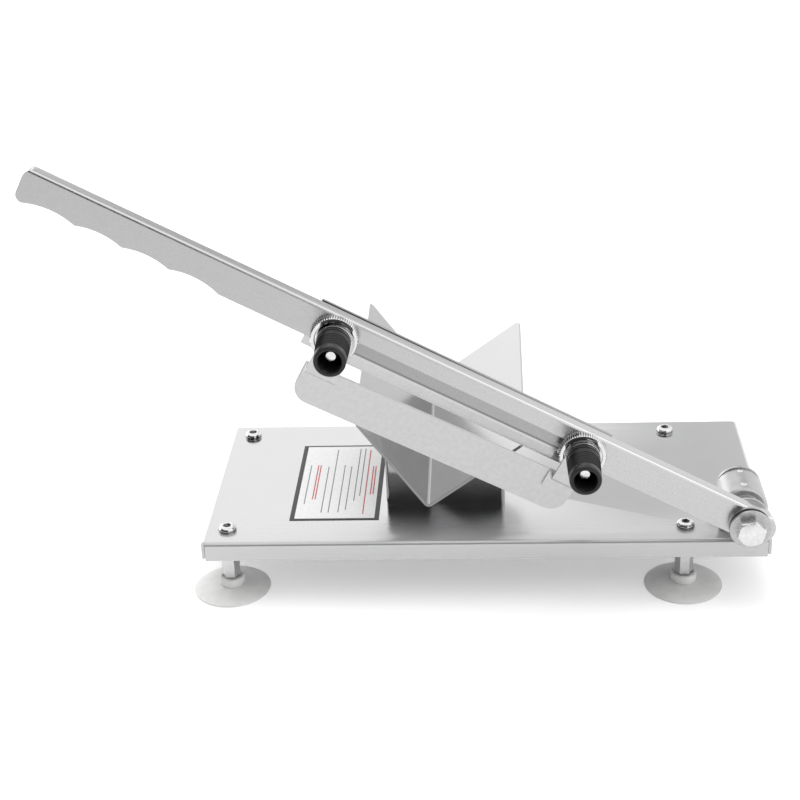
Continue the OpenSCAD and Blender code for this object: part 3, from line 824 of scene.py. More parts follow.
def beads_on_line() -> Tree:
    """Builds the tree that lays overlapping weld beads along a straight seam.

    Returns:
        The geometry tree.
    """
    graph, start, end = new_group(
        "beads_on_line", "GeometryNodeTree",
        [("Geometry", "Geometry", None), ("From", "Vector", None), ("To", "Vector", None),
         ("Count", "Int", 6), ("Size", "Float", MM), ("Spread", "Float", 0.3), ("Seed", "Int", 5),
         ("Material", "Material", None)],
        [("Geometry", "Geometry")])
    given = start.outputs
    seam = graph.add("GeometryNodeCurvePrimitiveLine", {"Start": given["From"], "End": given["To"]})
    points = graph.add("GeometryNodeCurveToPoints", {"Curve": seam.outputs[0], "Count": given["Count"]},
                       mode="COUNT")
    smallest = graph.math("SUBTRACT", 1.0, given["Spread"])
    share = chance(graph, smallest, 1.0, given["Seed"])
    size = graph.math("MULTIPLY", share, given["Size"])
    return laid_out(graph, start, end, points.outputs["Points"], {"Scale": size})


def grown(piece: Piece, maker: Maker, **values: object) -> Piece:
    """Runs a geometry tree on a piece and keeps its result as plain mesh.

    Args:
        piece: The piece that holds the shape to repeat.
        maker: The function that builds the tree.
        values: The tree's inputs, with underscores for spaces.

    Returns:
        The same piece.
    """
    tree = Groups.get(maker)
    modifier = piece.modifiers.new(tree.name, "NODES")
    modifier.node_group = tree
    sockets = {item.name: item.identifier for item in tree.interface.items_tree
               if item.item_type == "SOCKET" and item.in_out == "INPUT"}
    for name, value in values.items():
        modifier[sockets[name.replace("_", " ")]] = value
    return applied(piece)


# Sub-assemblies


@dataclass
class Tray:
    """The folded sheet that everything stands on."""

    haze_start: float = 3.0 * MM
    haze_end: float = 36.0 * MM
    haze: float = 0.1
    # How far the front turns less metallic and paler: painted light over the dark reflection
    film: float = 0.45
    # The fold's band and its painted shade, which dims the fold's highlight
    fold_centre: float = 1.1 * MM
    fold_core: float = 0.88 * MM
    fold_edge: float = 1.21 * MM
    fold_painted_light: float = 0.84

    def build(self) -> None:
        """Dresses the tray, rougher and paler along its front, where painted light fades the dark
        reflection, and with painted shade dimming the fold there.
        """
        front = box("base_plate").low.y
        near, far = front + self.haze_start, front + self.haze_end
        # Painted shade on the fold
        fold = Fade("Y", self.fold_core, self.fold_edge, self.fold_painted_light, 1.0,
                    centre=front + self.fold_centre)
        # The film is painted light: a less metallic, paler zone along the front
        steel = Steel("rolled tray steel", tone=0.68, roughness=0.14, along=6.0, across=700.0, spread=0.012,
                      relief=0.03, mottle_scale=60.0, mottle=0.004, fades=(fold,),
                      haze=Fade("Y", near, far, self.haze, 0.0), film=Fade("Y", near, far, self.film, 0.0))
        dress("base_plate", steel.material(), "base", Slot.TRAY)


@dataclass
class FootScrews:
    """The four domed socket screws that hold the feet to the tray."""

    head_radius: float = 4.8 * MM
    head_height: float = 3.4 * MM
    band: float = 0.9 * MM
    edge: float = 0.25 * MM
    flat: float = 2.7 * MM
    shank: float = 2.95 * MM
    tip: float = 0.6 * MM
    socket_half: float = 2.0 * MM
    socket_depth: float = 2.2 * MM
    socket_lead: float = 0.2 * MM
    socket_point: float = 0.4 * MM
    # Painted shade, 0 to 1, where the head meets the tray, at the foot of its band, low on the dome and in
    # the socket
    head_seam_shade: float = 0.7
    band_shade: float = 0.15
    dome_shade_share: float = 0.6
    socket_wall_shade: float = 0.3
    socket_floor_shade: float = 0.6
    dome_steps: int = 10
    steps: int = 48
    turn_spread: float = 1.0
    seed: int = 3

    def rings(self, bottom: float) -> list[Ring]:
        """The rings of one screw, whose head sits at a height of 0.

        Args:
            bottom: The height of the screw's end, under its head.

        Returns:
            The rings, from the end of the shank to the bottom of the socket.
        """
        top, rise = self.head_height, self.head_height - self.band
        # Painted shade low on the dome, fading out over this rise
        dome_shade_rise = rise * self.dome_shade_share
        dome = quarter(self.band, self.flat, rise, self.head_radius - self.flat, self.dome_steps)
        dome = [ring._replace(groove=max(0.0, 1.0 - (ring.height - self.band) / dome_shade_rise)) for ring in dome]
        rim = self.socket_half / math.cos(math.pi / HEX)
        return [Ring(bottom, 0.0), Ring(bottom, self.shank - self.tip), Ring(bottom + self.tip, self.shank),
                Ring(0.0, self.shank), Ring(0.0, self.head_radius - self.edge, groove=self.head_seam_shade),
                Ring(self.edge, self.head_radius, groove=self.band_shade), *dome,
                Ring(top, rim + self.socket_lead / 2),
                Ring(top - self.socket_lead, self.socket_half, HEX, self.socket_wall_shade),
                Ring(top - self.socket_depth, self.socket_half, HEX, self.socket_floor_shade),
                Ring(top - self.socket_depth - self.socket_point, 0.0)]

    def build(self) -> None:
        """Builds one screw and sets a copy on each corner of the tray, each turned a little."""
        room = box("foot_screws")
        seat_height = room.high.z - self.head_height
        piece = add_object("foot_screws_dressed", turned(self.rings(room.low.z - seat_height), self.steps))
        # groove sets how dark the painted shade is
        chrome = Steel("screw chrome", tone=0.78, roughness=0.12, spread=0.02, relief=0.03, mottle=0.02,
                       groove=0.85)
        piece = grown(piece, copies_on_rectangle, Width=room.size.x - 2 * self.head_radius,
                      Depth=room.size.y - 2 * self.head_radius,
                      Middle=(room.middle.x, room.middle.y, seat_height),
                      Turn_Spread=self.turn_spread, Seed=self.seed, Material=chrome.material())
        seat(piece, "base", Slot.FASTENER, "foot_screws")


@dataclass
class Feet:
    """The hexagonal posts and their suction cups. Rows are rises and insets in millimetres."""

    count: int = 4
    post_edge: float = 0.2 * MM
    post_corner: float = 5.02 * MM
    hollow: float = 1.6 * MM
    edge: float = 0.9 * MM
    crown: float = 3.0 * MM
    rim_inset: float = 3.3 * MM
    neck_radius: float = 6.2 * MM
    collar_radius: float = 6.8 * MM
    lip: Rows = ((0.0, 0.54), (0.225, 0.1), (0.54, 0.0), (0.81, 0.15))
    collar_foot: Rows = ((0.69, 0.15), (0.96, 0.0))
    collar_top: Rows = ((-0.7, 0.0), (-0.18, 0.24), (0.0, 0.66))
    post_well: Rows = ((0.0, -0.35), (-0.3, 0.0), (-0.65, 0.0))
    curve_steps: int = 10
    steps: int = 96

    def build(self) -> None:
        """Builds and seats every post and its cup."""
        steel = Steel("post steel", tone=0.7, roughness=0.24, grain=Grain.UPRIGHT, along=60.0).material()
        rubber = Moulding("cup rubber", colour=(0.84, 0.84, 0.83), worn=(0.62, 0.62, 0.61), roughness=0.38,
                          wear=0.6, mottle=0.03).material()
        for number in range(1, self.count + 1):
            dress(f"foot_post_{number}", steel, "base", Slot.POST, self.post_edge)
            self.cup(f"suction_cup_{number}", rubber)

    def rings(self, radius: float, top: float) -> list[Ring]:
        """The rings of one cup, which stands at a height of 0.

        Args:
            radius: The cup's radius.
            top: Its height.

        Returns:
            The rings, from the roof of the hollow to the bottom of the well for the post.
        """
        shares = [i / self.curve_steps for i in range(1, self.curve_steps + 1)]
        roof = [Ring(self.hollow * (1 - share ** 2), (radius - self.rim_inset) * share) for share in shares]
        back = [Ring(self.crown - (self.crown - self.edge) * (1 - share) ** 2,
                     radius - (radius - self.neck_radius) * share) for share in shares]
        well = stepped(self.post_well, top, self.post_corner)
        return [Ring(self.hollow, 0.0), *roof, *stepped(self.lip, 0.0, radius), *back,
                *stepped(self.collar_foot, self.crown, self.collar_radius),
                *stepped(self.collar_top, top, self.collar_radius), *well, Ring(well[-1].height, 0.0)]

    def cup(self, node: str, rubber: Material) -> None:
        """Builds one suction cup round its post.

        Args:
            node: The cup's node.
            rubber: Its material.
        """
        room = box(node)
        place = Matrix.Translation((room.middle.x, room.middle.y, room.low.z))
        shape = turned(self.rings(room.size.x / 2, room.size.z), self.steps)
        seat(coat(add_object(f"{node}_dressed", shape, place), rubber), "base", Slot.CUP, node)


class Print(IntEnum):
    """The panel's materials, in slot order."""

    FILM = 0
    BORDER = 1
    GREY = 2
    RED = 3


class Bar(NamedTuple):
    """A printed bar: its sides and its ends from the panel's corner, in metres, and its ink."""

    left: float
    right: float
    near: float
    far: float
    ink: Print


@dataclass
class Panel:
    """The bordered panel: white film, dark borders and plain rules."""

    side_border: float = 2.5 * MM
    end_border: float = 1.5 * MM
    red_width: float = 0.7 * MM
    grey_width: float = 0.6 * MM
    grey_rules: tuple[Triple, ...] = (
        (0.13, 0.20, 0.72), (0.34, 0.09, 0.70), (0.42, 0.09, 0.94), (0.53, 0.09, 0.72),
        (0.61, 0.12, 0.70), (0.69, 0.24, 0.95), (0.75, 0.30, 0.95))
    red_rules: tuple[Triple, ...] = (
        (0.215, 0.26, 0.72), (0.245, 0.26, 0.72), (0.87, 0.32, 0.7), (0.9, 0.32, 0.7),
        (0.812, 0.07, 0.93))
    digits: int = 7

    def bars(self, width: float, depth: float) -> list[Bar]:
        """The rules and borders. A rule is given by its place across and its two ends, as shares.

        Args:
            width: The panel's width.
            depth: The panel's depth.

        Returns:
            The bars in metres. Where two overlap, the later one shows.
        """
        bars = []
        for rules, thick, ink in ((self.grey_rules, self.grey_width, Print.GREY),
                                  (self.red_rules, self.red_width, Print.RED)):
            for place, near, far in rules:
                middle = place * width
                bars.append(Bar(middle - thick / 2, middle + thick / 2, near * depth, far * depth, ink))
        side, end = self.side_border, self.end_border
        borders = ((0.0, side, 0.0, depth), (width - side, width, 0.0, depth),
                   (0.0, width, 0.0, end), (0.0, width, depth - end, depth))
        return bars + [Bar(*border, Print.BORDER) for border in borders]

    def cells(self, room: Box) -> Shape:
        """The panel's face, cut into cells of one ink each.

        Args:
            room: The panel's box.

        Returns:
            The open face, with its material indices.
        """
        width, depth = room.size.x, room.size.y
        bars = self.bars(width, depth)
        xs = sorted({0.0, width, *(round(x, self.digits) for bar in bars for x in (bar.left, bar.right))})
        ys = sorted({0.0, depth, *(round(y, self.digits) for bar in bars for y in (bar.near, bar.far))})
        shape = bmesh.new()
        grid = [[shape.verts.new((room.low.x + x, room.low.y + y, room.high.z)) for y in ys] for x in xs]
        for i in range(len(xs) - 1):
            for j in range(len(ys) - 1):
                x, y = (xs[i] + xs[i + 1]) / 2, (ys[j] + ys[j + 1]) / 2
                face = shape.faces.new((grid[i][j], grid[i + 1][j], grid[i + 1][j + 1], grid[i][j + 1]))
                inks = [bar.ink for bar in bars if bar.left < x < bar.right and bar.near < y < bar.far]
                face.material_index = inks[-1] if inks else Print.FILM
        return shape

    def build(self) -> None:
        """Builds the panel: its face, walls down to the tray and a flat back."""
        room = box("label_panel")
        shape = self.cells(room)
        rim = [edge for edge in shape.edges if edge.is_boundary]
        walls = bmesh.ops.extrude_edge_only(shape, edges=rim)["geom"]
        for corner in (item for item in walls if isinstance(item, bmesh.types.BMVert)):
            corner.co.z = room.low.z
        bottom = [item for item in walls if isinstance(item, bmesh.types.BMEdge)]
        bmesh.ops.contextual_create(shape, geom=bottom)
        bmesh.ops.recalc_face_normals(shape, faces=shape.faces)
        piece = add_object("label_panel_dressed", shape)
        inks = (Ink("white film", (0.86, 0.86, 0.86)), Ink("dark border", (0.03, 0.033, 0.032)),
                Ink("grey rules", (0.2, 0.2, 0.2)), Ink("red rules", (0.55, 0.08, 0.09)))
        seat(coat(piece, *(ink.material() for ink in inks)), "base", Slot.PANEL, "label_panel")


@dataclass
class Trough:
    """The V-shaped trough and the stand that it rests on."""

    edge: float = 0.1 * MM
    cut_start: float = 0.15 * MM
    cut_end: float = 0.3 * MM
    # Painted shade on the cut edge, which dims its highlight
    cut_shade_tone: float = 0.6

    def build(self) -> None:
        """Dresses the trough, with painted shade dimming its cut edge in front, and its stand."""
        front = box("trough").low.y
        # Painted shade on the cut edge in front
        cut = Fade("Y", front + self.cut_start, front + self.cut_end, self.cut_shade_tone, 1.0)
        steel = Steel("trough steel", tone=0.46, roughness=0.22, along=8.0, across=500.0, spread=0.015,
                      relief=0.05, mottle_scale=70.0, mottle=0.012, fades=(cut,))
        dress("trough", steel.material(), "base", Slot.TROUGH, self.edge)
        chrome = Steel("stand chrome", tone=0.4, roughness=0.1, along=8.0, across=500.0, spread=0.02,
                       relief=0.04, mottle_scale=90.0, mottle=0.02)
        dress("trough_stand", chrome.material(), "base", Slot.STAND)


@dataclass(frozen=True)
class Beads:
    """Flattened weld beads along a straight seam."""

    size: float
    height_share: float
    count: int
    spread: float
    seed: int

    def lay(self, name: str, first: Triple, last: Triple, steel: Material) -> None:
        """Lays the beads and seats them on the base.

        Args:
            name: The piece's name.
            first: The middle of the first bead.
            last: The middle of the last bead.
            steel: The beads' material.
        """
        ball = bmesh.new()
        bmesh.ops.create_icosphere(ball, subdivisions=2, radius=1.0)
        piece = add_object(name, ball, Matrix.Scale(self.height_share, 4, (0, 0, 1)))
        seat(grown(piece, beads_on_line, From=first, To=last, Count=self.count, Size=self.size,
                   Spread=self.spread, Seed=self.seed, Material=steel), "base", Slot.BLOCK)


@dataclass
class Pivot:
    """The welded block and the bolt, washers and nuts that the lever turns on."""

    block_edge: float = 0.3 * MM
    block_segments: int = 3
    fastener_edge: float = 0.2 * MM
    weld: Beads = Beads(size=1.5 * MM, height_share=0.6, count=5, spread=0.25, seed=5)
    weld_lift: float = 0.3 * MM
    weld_inset_share: float = 0.3
    spot: Beads = Beads(size=1.7 * MM, height_share=0.22, count=2, spread=0.1, seed=3)
    spot_near_share: float = 0.24
    spot_far_share: float = 0.11

    def build(self) -> None:
        """Dresses the pivot's pieces and adds the weld beads."""
        cast = Steel("block steel", tone=0.5, roughness=0.34, along=300.0, across=500.0, relief=0.25,
                     mottle_scale=180.0, mottle=0.06).material()
        dress("pivot_block", cast, "base", Slot.BLOCK, self.block_edge, self.block_segments)
        plated = Plating("plated fasteners", tone=0.79, roughness=0.27, relief=0.2, mottle_scale=520.0,
                         mottle=0.05)
        # The washers are darker than the bolt and nuts: painted shade for the bolt head's shadow that they
        # reflect
        washers = Plating("washer steel", tone=0.52, roughness=0.36, mottle_scale=420.0, mottle=0.06)
        sprung = Plating("spring steel", tone=0.34, roughness=0.26, spread=0.06, mottle_scale=420.0,
                         mottle=0.08)
        for finish, names in ((plated, ("bolt", "lock_nut", "jam_nut")),
                              (washers, ("front_washer", "arm_washer", "back_washer", "spacer_washer",
                                         "far_washer")),
                              (sprung, ("spring_washer",))):
            steel = finish.material()
            for name in names:
                dress(f"pivot_{name}", steel, "base", Slot.FASTENER, self.fastener_edge)
        self.welds(cast)

    def welds(self, steel: Material) -> None:
        """Lays a short row of beads at each side of the block, and two flat spots on its crest.

        Args:
            steel: The block's material, which the rows of beads share.
        """
        room = box("pivot_block")
        inset = room.size.y * self.weld_inset_share
        foot = room.low.z + self.weld_lift
        for side, x in (("left", room.low.x), ("right", room.high.x)):
            first, last = (x, room.low.y + inset, foot), (x, room.high.y - inset, foot)
            self.weld.lay(f"weld_{side}", first, last, steel)
        near = room.low.y + room.size.y * self.spot_near_share
        far = room.high.y - room.size.y * self.spot_far_share
        first, last = (room.middle.x, near, room.high.z), (room.middle.x, far, room.high.z)
        bright = Steel("weld spots", tone=0.8, roughness=0.24, spread=0.04)
        self.spot.lay("weld_spots", first, last, bright.material())


@dataclass
class Lever:
    """The folded lever with its bush, its blade and the studs that carry the gauge."""

    edge: float = 0.18 * MM
    blade_edge: float = 0.05 * MM
    blade_segments: int = 1
    stud_edge: float = 0.12 * MM
    # Painted shade towards the grip's end
    grip_shade_tone: float = 0.84
    grip_shade_length: float = 60.0 * MM
    sheet: float = 1.5 * MM
    soft: float = 0.2 * MM
    # A painted highlight along the fold
    fold_drop: float = 0.6 * MM
    fold_half: float = 0.15 * MM
    fold_painted_light: float = 1.42
    # Painted shade on the inner wall
    inner_half: float = 0.7 * MM
    inner_drop: float = 3.0 * MM
    inner_shade_tone: float = 0.69
    # A painted shadow in the gap behind the lever
    gap_shadow_half: float = 0.1 * MM
    gap_shadow_drop: float = 1.8 * MM
    gap_shadow_start: float = 0.05
    gap_shadow_end: float = 0.8
    crest_soft: float = 0.05 * MM
    crest_tone: float = 0.72
    shadow_half: float = 0.5 * MM
    shadow_drop: float = 1.2 * MM
    shadow_tone: float = 0.4

    @staticmethod
    def reach(node: str, right: float, up: float) -> Zone:
        """The two ends of a node in a direction, which is given by its parts along X and Z."""
        places = [point.co.x * right + point.co.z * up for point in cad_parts[node].data.vertices]
        return min(places), max(places)

    def build(self) -> None:
        """Dresses the lever's pieces."""
        room = box("arm_channel")
        slope = lever_angle()
        low, top = self.reach("arm_channel", math.sin(slope), math.cos(slope))
        steel = Steel("lever steel", tone=0.585, roughness=0.28, grain=Grain.LEVER, along=60.0,
                      across=1500.0, spread=0.03, relief=0.07, mottle_scale=320.0, mottle=0.012,
                      fades=self.lever_fades(room, top))
        dress("arm_channel", steel.material(), "arm", Slot.LEVER, self.edge)
        ends = self.reach("blade", math.cos(slope), -math.sin(slope))
        ground = Steel("ground blade", tone=0.6, roughness=0.26, grain=Grain.LEVER, along=20.0,
                       across=1000.0, spread=0.04, relief=0.1, mottle=0.02,
                       fades=self.blade_fades(room.high.y, low, top, ends))
        dress("blade", ground.material(), "arm", Slot.BLADE, self.blade_edge, self.blade_segments)
        plated = Plating("stud plating", tone=0.8, roughness=0.2, spread=0.06, relief=0.2,
                         mottle_scale=700.0, mottle=0.12).material()
        for node in ("stud_left", "stud_right", "stud_nuts", "pivot_bush"):
            dress(node, plated, "arm", Slot.FASTENER, self.stud_edge)

    def lever_fades(self, room: Box, top: float) -> tuple[Fade | Overlap, ...]:
        """Painted shade towards the grip's end, a painted highlight on the fold and painted shade on the
        inner wall.

        Args:
            room: The lever's box.
            top: The place of its upper face across the slope.

        Returns:
            The changes of the lever's tone.
        """
        # Painted shade towards the grip
        grip = Fade("X", room.low.x, room.middle.x + self.grip_shade_length, self.grip_shade_tone, 1.0)
        # Painted highlight on the fold
        fold = Fade("Z", self.fold_half, self.fold_half + self.soft, self.fold_painted_light, 1.0,
                    centre=top - self.fold_drop)
        # Painted shade on the inner wall, below the top
        wall = Fade("Y", self.inner_half, self.inner_half + self.soft, self.inner_shade_tone, 1.0,
                    centre=room.high.y - self.sheet)
        below = Fade("Z", top - self.inner_drop, top - self.inner_drop + self.soft, self.inner_shade_tone, 1.0)
        return grip, fold, Overlap((wall, below))

    def blade_fades(self, back: float, low: float, top: float, ends: Zone) -> tuple[Fade | Overlap, ...]:
        """A painted shadow in the gap behind the lever, a darker upper edge and a painted shadow line below
        the lever.

        Args:
            back: The place of the lever's back face.
            low: The place of the lever's lower edge across the slope.
            top: The place of its upper face across the slope.
            ends: The blade's ends along the slope.

        Returns:
            The changes of the blade's tone.
        """
        near, far = ends
        # Painted shadow in the gap behind the lever
        seam = Overlap((Fade("X", near, far, self.gap_shadow_start, self.gap_shadow_end),
                        Fade("Y", self.gap_shadow_half, self.gap_shadow_half * 2.0, 0.0, 1.0, centre=back),
                        Fade("Z", top - self.gap_shadow_drop, top - self.gap_shadow_drop + self.soft, 1.0, 0.0)))
        crest = Fade("Z", top - self.soft, top - self.crest_soft, 1.0, self.crest_tone)
        shadow = Fade("Z", self.shadow_half, self.shadow_half + self.soft, self.shadow_tone, 1.0,
                      centre=low - self.shadow_drop)
        return seam, crest, shadow


@dataclass
class Gauge:
    """The thickness plate and the brackets and washers that move with it."""

    nodes: tuple[str, ...] = ("gauge_plate", "bracket_left", "bracket_right")

    def build(self) -> None:
        """Dresses the gauge's pieces."""
        steel = Steel("gauge steel", tone=0.59, roughness=0.33, grain=Grain.LEVER, along=120.0,
                      across=900.0, spread=0.03, relief=0.12, mottle_scale=380.0, mottle=0.04).material()
        for node in self.nodes:
            dress(node, steel, "gauge", Slot.GAUGE)
        plated = Steel("washer plating", tone=0.7, roughness=0.05, spread=0.03, relief=0.0)
        dress("knob_washers", plated.material(), "gauge", Slot.FASTENER)


def facing_front(room: Box) -> Matrix:
    """The place of a piece turned about Z that now points to the front, with its base on its box's back."""
    place = Matrix.Translation((room.middle.x, room.high.y, room.middle.z))
    return place @ Matrix.Rotation(QUARTER_TURN, 4, "X")


@dataclass
class Disc:
    """A knurled disc, made of wedges that hold one tooth each."""

    bore: float = 3.05 * MM
    tooth_count: int = 60
    tooth_depth: float = 0.45 * MM
    chamfer: float = 0.6 * MM
    face_inset: float = 1.6 * MM
    face_slope: float = 0.5 * MM
    face_sink: float = 0.35 * MM
    tooth: Rows = ((0.0, 1.0), (0.3, 0.0), (0.55, 0.0), (0.85, 1.0), (1.0, 1.0))

    def profile(self, radius: float, thick: float) -> list[Ring]:
        """The disc's profile, with a groove of 1 on the rings that the teeth cut.

        Args:
            radius: The disc's radius.
            thick: Its thickness.

        Returns:
            The closed profile, from the bore and round to the bore.
        """
        cut = self.chamfer
        flat = radius - self.tooth_depth - self.face_inset
        sunk = thick - self.face_sink
        return [Ring(0.0, self.bore), Ring(0.0, flat), Ring(0.0, radius - cut),
                Ring(cut, radius, groove=1.0), Ring(thick / 2, radius, groove=1.0),
                Ring(thick - cut, radius, groove=1.0), Ring(thick, radius - cut), Ring(thick, flat),
                Ring(sunk, flat - self.face_slope), Ring(sunk, self.bore)]

    def wedge(self, profile: Sequence[Ring]) -> Shape:
        """One wedge of the disc. The tooth's rows are shares of its angle and of the valley's depth.

        Args:
            profile: The closed profile.

        Returns:
            The open wedge.
        """
        shape = bmesh.new()
        groove = shape.verts.layers.float.new(GROOVE)
        columns: list[list[bmesh.types.BMVert]] = []
        for place, valley in self.tooth:
            turn = FULL_TURN / self.tooth_count * place
            columns.append([])
            for ring in profile:
                reach = ring.radius - valley * ring.groove * self.tooth_depth
                point = shape.verts.new((reach * math.cos(turn), reach * math.sin(turn), ring.height))
                # Painted shade in the tooth valleys
                point[groove] = valley * ring.groove
                columns[-1].append(point)
        count = len(profile)
        for first, second in zip(columns, columns[1:]):
            for i in range(count):
                j = (i + 1) % count
                shape.faces.new((first[i], second[i], second[j], first[j]))
        return shape

    def build(self, node: str, steel: Material) -> None:
        """Builds and seats one disc.

        Args:
            node: The disc's node.
            steel: Its material.
        """
        room = box(node)
        piece = add_object(f"{node}_dressed", self.wedge(self.profile(room.size.x / 2, room.size.y)))
        piece = grown(piece, copies_round_axis, Count=self.tooth_count, Material=steel)
        self.settle(piece, facing_front(room))
        seat(piece, node, Slot.KNURLED, node)

    @staticmethod
    def settle(piece: Piece, place: Matrix) -> None:
        """Moves a piece's mesh to its place, with its faces outwards.

        Args:
            piece: The piece.
            place: Where it goes.
        """
        shape = bmesh.new()
        shape.from_mesh(piece.data)
        bmesh.ops.remove_doubles(shape, verts=shape.verts, dist=KNURL_JOIN_DISTANCE)
        bmesh.ops.recalc_face_normals(shape, faces=shape.faces)
        shape.transform(place)
        shape.to_mesh(piece.data)
        shape.free()
        piece.data.shade_smooth()
        piece.data.set_sharp_from_angle(angle=KNURL_ANGLE)


@dataclass
class Knob:
    """A ribbed knob, with a recess in front. Rows are rises and insets in millimetres."""

    bore: float = 3.05 * MM
    end_radius: float = 7.9 * MM
    end_rounding: float = 1.1 * MM
    end_swell: float = 0.05 * MM
    end_steps: int = 5
    recess_radius: float = 5.8 * MM
    recess_rounding: float = 0.5 * MM
    recess_steps: int = 4
    thread_length: float = 6.0 * MM
    ring_count: int = 6
    ring_depth: float = 0.45 * MM
    ring_start_share: float = 0.3
    ring_end_share: float = 0.72
    rib_steps: int = 10
    rib_power: float = 2.0
    # How narrowly the painted shade sits in the bottom of each rib groove
    rib_shade: float = 2.2
    band_share: float = 0.1
    neck_share: float = 0.14
    foot: Rows = ((0.0, 0.4), (0.15, 0.1), (0.45, 0.0))
    band_top: Rows = ((-0.35, 0.02), (-0.05, 0.25), (0.1, 0.6))
    neck_groove: Rows = ((-0.1, 0.6),)
    neck_top: Rows = ((0.15, 0.15), (0.5, 0.0))
    recess_foot: Rows = ((0.5, 0.1), (0.0, 0.6))
    steps: int = 96

    def skin(self, share: float, base: float) -> float:
        """The skin's radius at a share of the length, from the radius at the base."""
        return base + (self.end_radius - base) * share

    def ribs(self, base: float, length: float) -> list[Ring]:
        """The rings of the rounded ribs between a knob's fine grooves.

        Args:
            base: The knob's radius at its base.
            length: The knob's length.

        Returns:
            The rings, from the base to the end.
        """
        first, last = self.ring_start_share * length, self.ring_end_share * length
        pitch = (last - first) / (self.ring_count - 1)
        rings = [Ring(first - pitch, self.skin((first - pitch) / length, base))]
        for i in range(self.ring_count * self.rib_steps + 1):
            across = i / self.rib_steps
            height = first - pitch / 2 + pitch * across
            swell = abs(2 * (across % 1) - 1)
            valley = 1 - math.sqrt(max(0.0, 1 - (1 - swell) ** self.rib_power))
            # Painted shade in each groove between the ribs
            rings.append(Ring(height, self.skin(height / length, base) - self.ring_depth * (1 - valley),
                              groove=max(0.0, 1 - self.rib_shade * swell)))
        rings.append(Ring(last + pitch, self.skin((last + pitch) / length, base)))
        return rings

    def rings(self, base: float, length: float) -> list[Ring]:
        """The rings of the whole knob.

        Args:
            base: The knob's radius at its base.
            length: The knob's length.

        Returns:
            The rings, from the bore at the base, round the end and back to the bore.
        """
        band, neck = self.band_share * length, self.neck_share * length
        rounding, small = self.end_rounding, self.recess_rounding
        end = quarter(length - rounding, self.end_radius - rounding, rounding, rounding, self.end_steps)
        mouth = quarter(length - small, self.recess_radius + small, small, -small, self.recess_steps)
        return [Ring(0.0, self.bore), *stepped(self.foot, 0.0, base), *stepped(self.band_top, band, base),
                *stepped(self.neck_groove, neck, base),
                *stepped(self.neck_top, neck, self.skin(self.neck_share, base)), *self.ribs(base, length),
                Ring(length - 2 * rounding, self.end_radius + self.end_swell), *end, *reversed(mouth),
                *stepped(self.recess_foot, self.thread_length, self.recess_radius),
                Ring(self.thread_length, self.bore)]

    def build(self, node: str, plastic: Material) -> None:
        """Builds and seats one knob.

        Args:
            node: The knob's node.
            plastic: Its material.
        """
        room = box(node)
        shape = turned(self.rings(room.size.x / 2, room.size.y), self.steps, hollow=True)
        piece = add_object(f"{node}_dressed", shape, facing_front(room))
        seat(coat(piece, plastic), node, Slot.KNOB, node)


@dataclass
class Adjuster:
    """The knurled discs and the ribbed knobs that set the slice."""

    sides: tuple[str, ...] = ("left", "right")

    def build(self) -> None:
        """Builds both discs and both knobs."""
        # groove darkens the discs' tooth valleys and the knobs' rib grooves: painted shade
        knurled = Plating("knurled steel", tone=0.76, roughness=0.06, spread=0.04, relief=0.0,
                          groove=0.55).material()
        plastic = Moulding("knob plastic", colour=(0.02, 0.02, 0.021), worn=(0.05, 0.05, 0.05),
                           roughness=0.32, wear=0.5, mottle=0.1, groove=0.95, specular=0.3).material()
        for side in self.sides:
            Disc().build(f"disc_{side}", knurled)
            Knob().build(f"knob_{side}", plastic)


# Studio


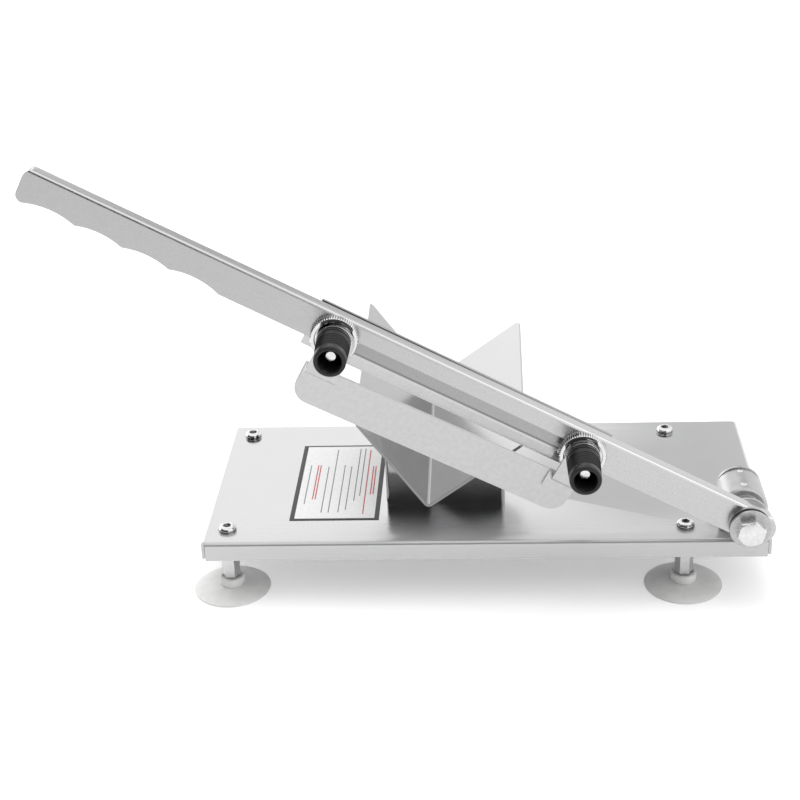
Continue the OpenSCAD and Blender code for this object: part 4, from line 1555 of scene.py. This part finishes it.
@dataclass
class Studio:
    """The camera, the pale floor and the soft light."""

    eye: Triple = (40.93 * MM, -784.78 * MM, 473.88 * MM)
    yaw: float = -0.0646
    pitch: float = 0.451
    roll: float = -0.0423
    focal_pixels: float = 1620.0
    picture_pixels: float = 800.0
    sensor: float = 36.0
    clip: Zone = (0.01, 100.0)
    floor_half: float = 6.0
    floor_drop: float = 0.05 * MM
    floor_tone: float = 0.93
    floor_roughness: float = 0.9
    floor_lift: float = 0.3
    lamp_place: Triple = (-0.35, 0.35, 2.3)
    lamp_aim: Triple = (0.0, 0.0, 0.05)
    lamp_size: float = 2.2
    lamp_power: float = 16.0
    sky_left: float = 1.17
    sky_middle: float = 0.72
    sky_right: float = 1.08
    horizon_left: float = 1.3
    front_low: float = 0.05
    front_high: float = 1.15
    front_right: float = 1.25
    zenith: float = 1.13
    left_zone: Zone = (-0.01, 0.13)
    right_zone: Zone = (0.2, 0.4)
    far_left_zone: Zone = (-0.45, -0.2)
    horizon_zone: Zone = (0.12, 0.32)
    front_zone: Zone = (0.55, 0.8)
    front_right_zone: Zone = (0.2, 0.36)
    rear_zone: Zone = (-0.1, 0.15)
    zenith_zone: Zone = (0.6, 0.9)

    def build(self) -> None:
        """Sets the camera, the floor, the lamp and the world."""
        self.camera()
        self.floor()
        self.lamp()
        self.world()
        bpy.context.scene.view_settings.view_transform = "Standard"

    def camera(self) -> None:
        """Sets the camera at the photograph's angle."""
        level = math.cos(self.pitch)
        forward = Vector((math.sin(self.yaw) * level, math.cos(self.yaw) * level, -math.sin(self.pitch)))
        right = Vector((math.cos(self.yaw), -math.sin(self.yaw), 0.0))
        up = right.cross(forward)
        rolled_right = right * math.cos(self.roll) + up * math.sin(self.roll)
        rolled_up = up * math.cos(self.roll) - right * math.sin(self.roll)
        data = bpy.data.cameras.new("camera")
        data.sensor_width = self.sensor
        data.sensor_fit = "HORIZONTAL"
        data.lens = self.focal_pixels * self.sensor / self.picture_pixels
        data.clip_start, data.clip_end = self.clip
        camera = bpy.data.objects.new("camera", data)
        axes = Matrix((rolled_right, rolled_up, -forward)).transposed().to_4x4()
        camera.matrix_world = Matrix.Translation(self.eye) @ axes
        bpy.context.scene.collection.objects.link(camera)
        bpy.context.scene.camera = camera

    def floor(self) -> None:
        """Lays a plain white floor under the cups."""
        half = self.floor_half
        shape = bmesh.new()
        shape.faces.new([shape.verts.new((x, y, -self.floor_drop))
                         for x, y in ((-half, -half), (half, -half), (half, half), (-half, half))])
        surface = Surface("white floor")
        rays = surface.graph.add("ShaderNodeLightPath")
        lift = surface.graph.math("MULTIPLY", rays.outputs["Is Camera Ray"], self.floor_lift)
        tone = self.floor_tone
        surface.fill({"Base Color": (tone, tone, tone, 1.0), "Roughness": self.floor_roughness,
                      "Specular IOR Level": 0.0, "Emission Color": (1.0, 1.0, 1.0, 1.0),
                      "Emission Strength": lift})
        coat(add_object("floor", shape), surface.material)

    def lamp(self) -> None:
        """Hangs one large soft lamp above, a little behind and to the left, unseen in reflections."""
        data = bpy.data.lights.new("top_lamp", "AREA")
        data.shape = "DISK"
        data.size = self.lamp_size
        data.energy = self.lamp_power
        lamp = bpy.data.objects.new("top_lamp", data)
        aim = (Vector(self.lamp_aim) - Vector(self.lamp_place)).to_track_quat("-Z", "Y")
        lamp.matrix_world = Matrix.Translation(self.lamp_place) @ aim.to_matrix().to_4x4()
        lamp.visible_glossy = False
        bpy.context.scene.collection.objects.link(lamp)

    def world(self) -> None:
        """Surrounds the object with soft light: bright above and behind, dark low in front."""
        world = bpy.data.worlds.new("studio")
        world.use_nodes = True
        bpy.context.scene.world = world
        graph = Graph(world.node_tree)
        where = graph.add("ShaderNodeTexCoord").outputs["Generated"]
        x, y, z = graph.add("ShaderNodeSeparateXYZ", {0: where}).outputs
        behind = graph.math("ADD", graph.ramp(x, *self.left_zone, self.sky_left, self.sky_middle),
                            graph.ramp(x, *self.right_zone, 0.0, self.sky_right - self.sky_middle))
        low_left = graph.math("MULTIPLY", graph.ramp(x, *self.far_left_zone, self.horizon_left, 0.0),
                              graph.ramp(z, *self.horizon_zone, 1.0, 0.0))
        behind = graph.math("ADD", behind, low_left)
        before = graph.ramp(z, *self.front_zone, self.front_low, self.front_high)
        before = graph.blend(graph.ramp(x, *self.front_right_zone, 0.0, 1.0), before, self.front_right)
        around = graph.blend(graph.ramp(y, *self.rear_zone, 0.0, 1.0), before, behind)
        soft = graph.blend(graph.ramp(z, *self.zenith_zone, 0.0, 1.0), around, self.zenith)
        seen = graph.add("ShaderNodeLightPath").outputs["Is Camera Ray"]
        graph.fill(world.node_tree.nodes["Background"],
                   {"Color": (1.0, 1.0, 1.0, 1.0), "Strength": graph.blend(seen, soft, 1.0)})


def main() -> None:
    """Builds the studio and every sub-assembly in order."""
    logging.basicConfig(level=logging.INFO, format="%(name)s: %(message)s")
    for part in (Studio(), Tray(), FootScrews(), Feet(), Panel(), Trough(), Pivot(), Lever(), Gauge(),
                 Adjuster()):
        LOG.info("building %s", type(part).__name__)
        part.build()


if __name__ == "__main__":
    main()
